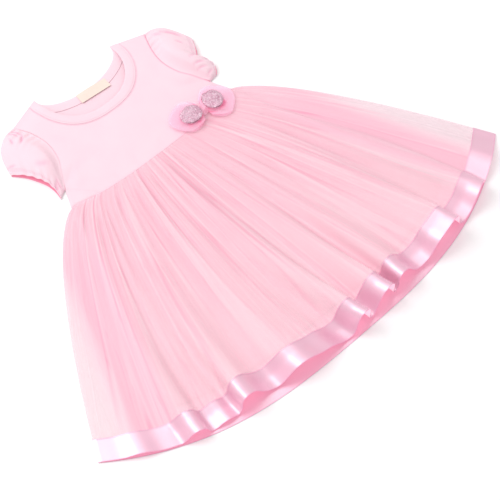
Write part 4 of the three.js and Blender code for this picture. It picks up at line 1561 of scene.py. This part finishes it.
class DRESS_OT_skirt(bpy.types.Operator):
    """Builds the tulle skirt, its lining and its hem ribbon, front and back"""

    bl_idname = "dress.skirt"
    bl_label = "Skirt"

    def execute(self, context):
        sizes = context.scene.dress_sizes
        self.front(sizes)
        self.back(sizes)
        return {"FINISHED"}

    def front(self, sizes):
        for name, node, v0, v1, rows, cloth in (
            ("skirt_front_panel", "skirt_front", 0.0, RIBBON_START, TULLE_ROWS, "tulle"),
            ("hem_ribbon_front_band", "hem_ribbon_front", RIBBON_START, 1.0, RIBBON_ROWS, "satin"),
        ):
            piece = self.waved(name, v0, v1, rows, cloth)
            reverse = None if cloth == "tulle" else finish_of("satin reverse")
            widths = [f"{node}_{i}" for i in range(1, FRONT_WIDTHS + 1)]
            finish_sheet(piece, cloth, sizes.cloth * FRONT_THIN, 70, widths, reverse)
        row = np.full(1400, RIBBON_START + HEM_ROW / SKIRT_LENGTH)
        line = tulle_front(np.linspace(0.004, 0.996, len(row)), row)[0] + (0, 0, STITCH_RISE)
        stitches("hem_ribbon_stitches", [line], sizes, "satin")

    def waved(self, name, v0, v1, rows, cloth):
        """The front's sheet from v0 to v1 down the skirt."""
        folds = {}

        def surface(u, v):
            points, folds["value"] = tulle_front(u, np.round(mix(v0, v1, v), 9))
            return points

        def flat(u, v):
            return np.column_stack([u * CLOTH_WIDTH, (1 - v) * (v1 - v0) * SKIRT_LENGTH])

        columns = FRONT_STEPS
        piece, u, v = grid_sheet(name, columns, rows, surface, flat, share=folds)
        if cloth == "tulle":
            place = places_mm(piece)
            straight = place[:, 0] / skirt_half(v) * CLOTH_WIDTH / 2
            across = mix(straight, u * CLOTH_WIDTH, STRAIGHT_SHARE)
            give_uv(piece, np.column_stack([across, (1 - v) * SKIRT_LENGTH]))
            beyond = np.abs(place[:, 0]) - lining_half(v)
            below_waist = smooth((v - 0.05) / 0.3)
            bare = smooth((beyond - BARE_START) / BARE_FADE) * below_waist
            double = smooth((beyond + DOUBLE_FADE) / DOUBLE_FADE) * (1 - bare) * below_waist
            low = LOW_PALE * smooth((v - 0.3) / 0.6) * (1 - double)
            give_share(piece, "bare", np.maximum(bare, low))
            give_share(piece, "layers", DOUBLE_SHARE * double)
        return piece

    def back(self, sizes):
        thin = sizes.cloth / MM
        tulle = skirt_outline(0, RIBBON_START - SEAM_V, skirt_half)
        ribbon = skirt_outline(RIBBON_START, 1, skirt_half)
        lining = skirt_outline(0, LINING_SHARE, lining_half)
        ribbon_run = float(np.hypot(*np.diff(ribbon[:HEM_STEPS], axis=0).T).sum())
        for name, node, outline, top, cloth in (
            ("skirt_back_panel", "skirt_back", tulle, thin, "tulle"),
            ("hem_ribbon_back_band", "hem_ribbon_back", ribbon, thin, "satin"),
            ("lining_back_panel", "lining_back", lining, LAYER + thin, "lining"),
            ("lining_front_panel", "lining_front", lining, 2 * LAYER + thin, "lining"),
        ):
            piece = panel(name, outline, FLAT_SPACING, lambda p, top=top: np.full(len(p), top))
            if cloth == "satin":
                self.ribbon_uv(piece)
            if cloth == "tulle":
                give_share(piece, "fold", np.full(len(piece.data.vertices), BACK_FOLD))
                place = places_mm(piece)
                down = (-WAIST_DIP - place[:, 1]) / SKIRT_LENGTH
                beyond = (np.abs(place[:, 0]) - lining_half(down)) / BARE_FADE
                give_share(piece, "bare", BACK_BARE * smooth(beyond))
                give_share(piece, "layers", 1 - smooth(beyond))
            finish_sheet(piece, cloth, sizes.cloth, 50, [node])
            if cloth == "satin":
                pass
            else:
                declare_panel(outline)

    def ribbon_uv(self, piece):
        """Lays the flat ribbon's UV along its curve, so that its edges run with the hem."""
        place = places_mm(piece)[:, :2]
        share = place[:, 0] / skirt_half(1.0)
        low = skirt_plan(place[:, 0], np.ones(len(place)))
        high = skirt_plan(place[:, 0].clip(-skirt_half(RIBBON_START), skirt_half(RIBBON_START)), RIBBON_START)
        across = (place[:, 1] - low) / np.maximum(high - low, 1e-6) * RIBBON
        give_uv(piece, np.column_stack([share * HEM_HALF, across.clip(0, RIBBON)]))


KNOT_RADIUS = 3.2
KNOT_LENGTH = 11
KNOT_CLOTH = 40
KNOT_THICK = 0.5
WING_HEIGHT = 7
LOOP_FROM = KNOT_RADIUS + SEAM
GLITTER_HEIGHT = 9
DISC_HEIGHT = 6
DISC_NOTCH = 0.16
GLITTER_BASE = BOW_BASE + WING_HEIGHT + SEAM
LOOP_WIDEST = 0.66
DISC_DENT = 0.25
NOTCH_WIDTH = 0.35
# Shade of the wings: ribs out from the knot, depth at the knot and below, and in the pockets
RIB_SHADE = 0.55
RIB_COUNT = 13
KNOT_SHADE = 0.5
UNDER_SHADE = 0.2
POCKET_SHADE = 1.1
# Painted shade: deep pink pockets of the wings below the glitter loops
LOOP_POCKETS = [(54, -12), (51, 0), (62, -16), (99, -17), (105, -16)]
POCKET_WIDTH = 3.8
FLAKE_SIDES = 6
FLAKE_TILT = 0.35
FLAKE_LAY = 0.15
FLAKE_RADII = (0.28, 0.5)
WING = {
    "knot": 25,
    "height": WING_HEIGHT,
    "base": BOW_BASE,
    "roundness": 0.42,
    "shape": 2.0,
    "dome": 0.3,
    "crease": 1.7,
    "thick": 0.3,
    "cloth": "organza",
}
DISC = {"height": DISC_HEIGHT, "base": GLITTER_BASE, "dome": 0.45, "thick": 0.8, "cloth": "glitter"}
BOW_LOOPS = [
    {**WING, "name": "bow_wing_left", "side": -1, "length": 43, "end": 45, "raised": 7},
    {**WING, "name": "bow_wing_right", "side": 1, "length": 43, "end": 51, "raised": 10},
    {**DISC, "name": "bow_glitter_left", "side": -1, "length": 30, "end": 25, "raised": -2, "notch": 62},
    {**DISC, "name": "bow_glitter_right", "side": 1, "length": 26, "end": 28, "raised": 15, "notch": 75},
]


def bow_place(out, across, z):
    """Turns a point of the bow into the dress's frame."""
    x = BOW_X + out * math.cos(BOW_TURN) - across * math.sin(BOW_TURN)
    y = BOW_Y + out * math.sin(BOW_TURN) + across * math.cos(BOW_TURN)
    return np.column_stack([x, y, z])


def raised_place(loop, out, across, z):
    """Places a point of a loop, turned up towards the neck by the loop's own angle."""
    raised = math.radians(loop["raised"])
    along = out * math.cos(raised) - across * math.sin(raised) * loop["side"]
    sideways = np.abs(out) * math.sin(raised) + across * math.cos(raised)
    return bow_place(along, sideways, z)


def disc_surface(loop, u, v, angle, reach):
    """A loop pressed out to a round disc: the square of reach and v is mapped onto a circle."""
    left, high = 2 * reach - 1, 1 - 2 * v
    out = LOOP_FROM + loop["length"] / 2 * (1 + left * np.sqrt(1 - high**2 / 2))
    across = loop["end"] / 2 * high * np.sqrt(1 - left**2 / 2)
    turn = np.arctan2(high, left) - math.radians(loop["notch"])
    outer = np.maximum(np.abs(left), np.abs(high)) ** 3
    across = across * (1 - DISC_NOTCH * np.exp(-((turn / NOTCH_WIDTH) ** 2)) * outer)
    rim = 1 - loop["dome"] * high**4
    swell = loop["height"] / 2 * np.abs(np.sin(angle)) ** 0.6 * rim
    dents = DISC_DENT * np.sin(9 * u + 7 * v) * np.sin(11 * v + 2)
    z = loop["base"] + loop["height"] / 2 + np.where(np.sin(angle) > 0, swell + dents * rim, -swell)
    return raised_place(loop, loop["side"] * out, across, z)


def loop_surface(loop):
    """Face of one loop of the bow: u runs round the loop from the knot, and v across it."""

    def surface(u, v):
        angle = 2 * math.pi * u
        reach = (1 - np.cos(angle)) / 2
        if loop["cloth"] == "glitter":
            return disc_surface(loop, u, v, angle, reach)
        end = LOOP_FROM + loop["length"] * (1 - loop["roundness"] * np.abs(2 * v - 1) ** loop["shape"])
        out = loop["side"] * mix(LOOP_FROM, end, reach)
        wide = np.sin(math.pi * LOOP_WIDEST * reach).clip(0) ** 0.75
        across = (0.5 - v) * mix(loop["knot"], loop["end"], wide)
        belly = np.sin(math.pi * (0.12 + 0.82 * reach)) ** 0.8
        opened = np.abs(np.sin(angle))
        swell = loop["height"] / 2 * opened**0.7 * mix(0.5, 1, belly)
        swell *= 1 - loop["dome"] * np.abs(2 * v - 1) ** 3
        fold = loop["crease"] * np.cos(5 * math.pi * (0.5 - v) + 0.6) * (1.1 - reach) * opened**0.5
        z = loop["base"] + loop["height"] / 2 + np.where(np.sin(angle) > 0, swell + fold, -swell)
        return raised_place(loop, out, across, np.minimum(z, GLITTER_BASE - 0.1))

    return surface


class DRESS_OT_bow(bpy.types.Operator):
    """Builds the bow: organza wings, glitter loops with their flakes, and the knot"""

    bl_idname = "dress.bow"
    bl_label = "Bow"

    def execute(self, context):
        for loop in BOW_LOOPS:
            self.one_loop(loop, context.scene.dress_sizes.flakes)
        self.knot()
        return {"FINISHED"}

    def one_loop(self, loop, flakes):
        around = 2 * loop["length"]

        def flat(u, v):
            return np.column_stack([u * around, v * loop["end"]])

        piece, _, _ = grid_sheet(loop["name"] + "_loop", 96, 36, loop_surface(loop), flat, joined=True)
        x, y, z = places_mm(piece).T
        far = np.hypot(x - BOW_X, y - BOW_Y)
        angle = np.arctan2(y - BOW_Y, x - BOW_X)
        # Painted shade of the wings, stored as their fold share: on their lower side, along ribs out from the
        # knot, at the knot and in the pockets under the glitter loops; partly the organza bunched double near
        # the knot
        under = smooth((BOW_BASE + 5 - z) / 4) * UNDER_SHADE
        ribs = RIB_SHADE * smooth(np.cos(RIB_COUNT * angle + 0.6) - 0.3) * (1 - smooth((far - 10) / 30))
        deep = KNOT_SHADE * (1 - smooth((far - 6) / 18))
        for pocket_x, pocket_y in LOOP_POCKETS:
            off = np.hypot(x - pocket_x, y - pocket_y) / POCKET_WIDTH
            deep = deep + POCKET_SHADE * np.exp(-(off**2))
        give_share(piece, "fold", np.maximum(deep + ribs, under))
        if loop["cloth"] == "glitter":
            self.flakes(piece, loop["name"], flakes)
        finish_sheet(piece, loop["cloth"], loop["thick"] * MM, 60, [loop["name"]])

    def flakes(self, loop, name, count):
        """Scatters small tilted hexagonal flakes over the upper side of a loop."""
        mesh = loop.data
        rng = np.random.default_rng(len(name) + 7)
        normals = np.zeros(len(mesh.vertices) * 3, np.float32)
        mesh.vertex_normals.foreach_get("vector", normals)
        normals = normals.reshape(-1, 3)
        place = places_mm(loop)
        upper = np.flatnonzero(normals[:, 2] > 0.1)
        corner_turns = 2 * math.pi * np.arange(FLAKE_SIDES) / FLAKE_SIDES
        points, faces = [], []
        for i in rng.choice(upper, count):
            tilt = normals[i] + rng.normal(0, FLAKE_TILT, 3)
            tilt /= np.linalg.norm(tilt)
            side = np.cross(tilt, (0, 1, 0.1))
            side /= np.linalg.norm(side)
            ahead = np.cross(tilt, side)
            middle = place[i] + normals[i] * FLAKE_LAY + rng.normal(0, 0.25, 3) * (1, 1, 0)
            radius = rng.uniform(*FLAKE_RADII)
            turns = corner_turns + rng.uniform(0, 1)
            ring = middle + radius * (np.cos(turns)[:, None] * side + np.sin(turns)[:, None] * ahead)
            first = len(points) * FLAKE_SIDES
            faces.append(tuple(range(first, first + FLAKE_SIDES)))
            points.append(ring)
        piece = new_piece(name + "_flakes", np.vstack(points), faces)
        dress_piece(piece, finish_of("flake"), "glitter")

    def knot(self):
        height = GLITTER_BASE + GLITTER_HEIGHT - BOW_BASE

        def surface(u, v):
            turn = 2 * math.pi * u
            radius = KNOT_RADIUS * (0.8 + 0.1 * np.cos(2 * math.pi * v))
            across = (0.5 - v) * KNOT_LENGTH
            z = BOW_BASE + height / 2 + np.cos(turn) * height / 2 * (0.94 + 0.06 * np.cos(2 * math.pi * v))
            return bow_place(np.sin(turn) * radius, across, z)

        def flat(u, v):
            return np.column_stack([u * KNOT_CLOTH, v * KNOT_LENGTH])

        piece, _, _ = grid_sheet("bow_knot_band", 40, 14, surface, flat, joined=True)
        give_share(piece, "fold", np.full(len(piece.data.vertices), 0.1))
        finish_sheet(piece, "organza", KNOT_THICK * MM, 60, ["bow_knot"])


# Stage

CAMERA_PLACE = (-0.7207, -0.9457, 1.7264)
CAMERA_AIM = (-0.0131, -0.1898, 0.0)
CAMERA_LENS = 122.4
CAMERA_SENSOR = 36
FLOOR_SIZE = 12
FLOOR_DROP = 0.0003
WORLD_STRENGTH = 0.76
LIGHT_AIM = (0, -0.12, 0)
# Each light's place, size and power
LIGHTS = {
    "key light": ((-0.9, 0.9, 1.9), 1.6, 24),
    "top light": ((0.42, 0.35, 2.1), 1.0, 4.5),
}


def aimed(place, aim):
    """Turn of a camera or light at place that looks at aim."""
    return (Vector(aim) - Vector(place)).to_track_quat("-Z", "Y").to_euler()


class DRESS_OT_stage(bpy.types.Operator):
    """Sets the floor, the lights, the world and the camera"""

    bl_idname = "dress.stage"
    bl_label = "Stage"

    def execute(self, context):
        scene = context.scene
        bpy.ops.object.select_all(action="DESELECT")
        bpy.ops.mesh.primitive_plane_add(size=FLOOR_SIZE, location=(0, 0, -FLOOR_DROP))
        floor = bpy.context.object
        floor.name = "floor"
        floor.data.materials.append(floor_material())
        world = scene.world or bpy.data.worlds.new("Studio")
        scene.world = world
        world.use_nodes = True
        background = world.node_tree.nodes["Background"]
        background.inputs["Color"].default_value = (1.0, 1.0, 1.0, 1)
        background.inputs["Strength"].default_value = WORLD_STRENGTH
        for name, (place, size, power) in LIGHTS.items():
            self.light(name, place, size, power)
        bpy.ops.object.camera_add(location=CAMERA_PLACE)
        camera = bpy.context.object
        camera.name = "camera"
        camera.rotation_euler = aimed(CAMERA_PLACE, CAMERA_AIM)
        camera.data.lens = CAMERA_LENS
        camera.data.sensor_width = CAMERA_SENSOR
        camera.data.clip_start = 0.05
        scene.camera = camera
        scene.view_settings.view_transform = "Standard"
        scene.view_settings.look = "None"
        return {"FINISHED"}

    def light(self, name, place, size, power):
        bpy.ops.object.light_add(type="AREA", location=place)
        lamp = bpy.context.object
        lamp.name = name
        lamp.data.shape = "DISK"
        lamp.data.size = size
        lamp.data.energy = power
        lamp.rotation_euler = aimed(place, LIGHT_AIM)


class DRESS_PT_panel(bpy.types.Panel):
    """Lists the dress's pieces, sizes and colours"""

    bl_idname = "DRESS_PT_panel"
    bl_label = "Party dress"
    bl_space_type = "VIEW_3D"
    bl_region_type = "UI"
    bl_category = "Dress"

    def draw(self, context):
        layout = self.layout
        for operator in OPERATORS:
            layout.operator(operator.bl_idname)
        for group in (context.scene.dress_sizes, context.scene.dress_colours):
            column = layout.column()
            for name in group.__annotations__:
                column.prop(group, name)


OPERATORS = (DRESS_OT_stage, DRESS_OT_skirt, DRESS_OT_bodice, DRESS_OT_neck, DRESS_OT_sleeves, DRESS_OT_bow)
CLASSES = (DressSizes, DressColours, *OPERATORS, DRESS_PT_panel)


def register():
    for cls in CLASSES:
        bpy.utils.register_class(cls)
    bpy.types.Scene.dress_sizes = bpy.props.PointerProperty(type=DressSizes)
    bpy.types.Scene.dress_colours = bpy.props.PointerProperty(type=DressColours)


def unregister():
    del bpy.types.Scene.dress_colours
    del bpy.types.Scene.dress_sizes
    for cls in reversed(CLASSES):
        bpy.utils.unregister_class(cls)


def main():
    register()
    bpy.ops.dress.stage()
    bpy.ops.dress.skirt()
    bpy.ops.dress.bodice()
    bpy.ops.dress.neck()
    bpy.ops.dress.sleeves()
    bpy.ops.dress.bow()


if __name__ == "__main__":
    main()
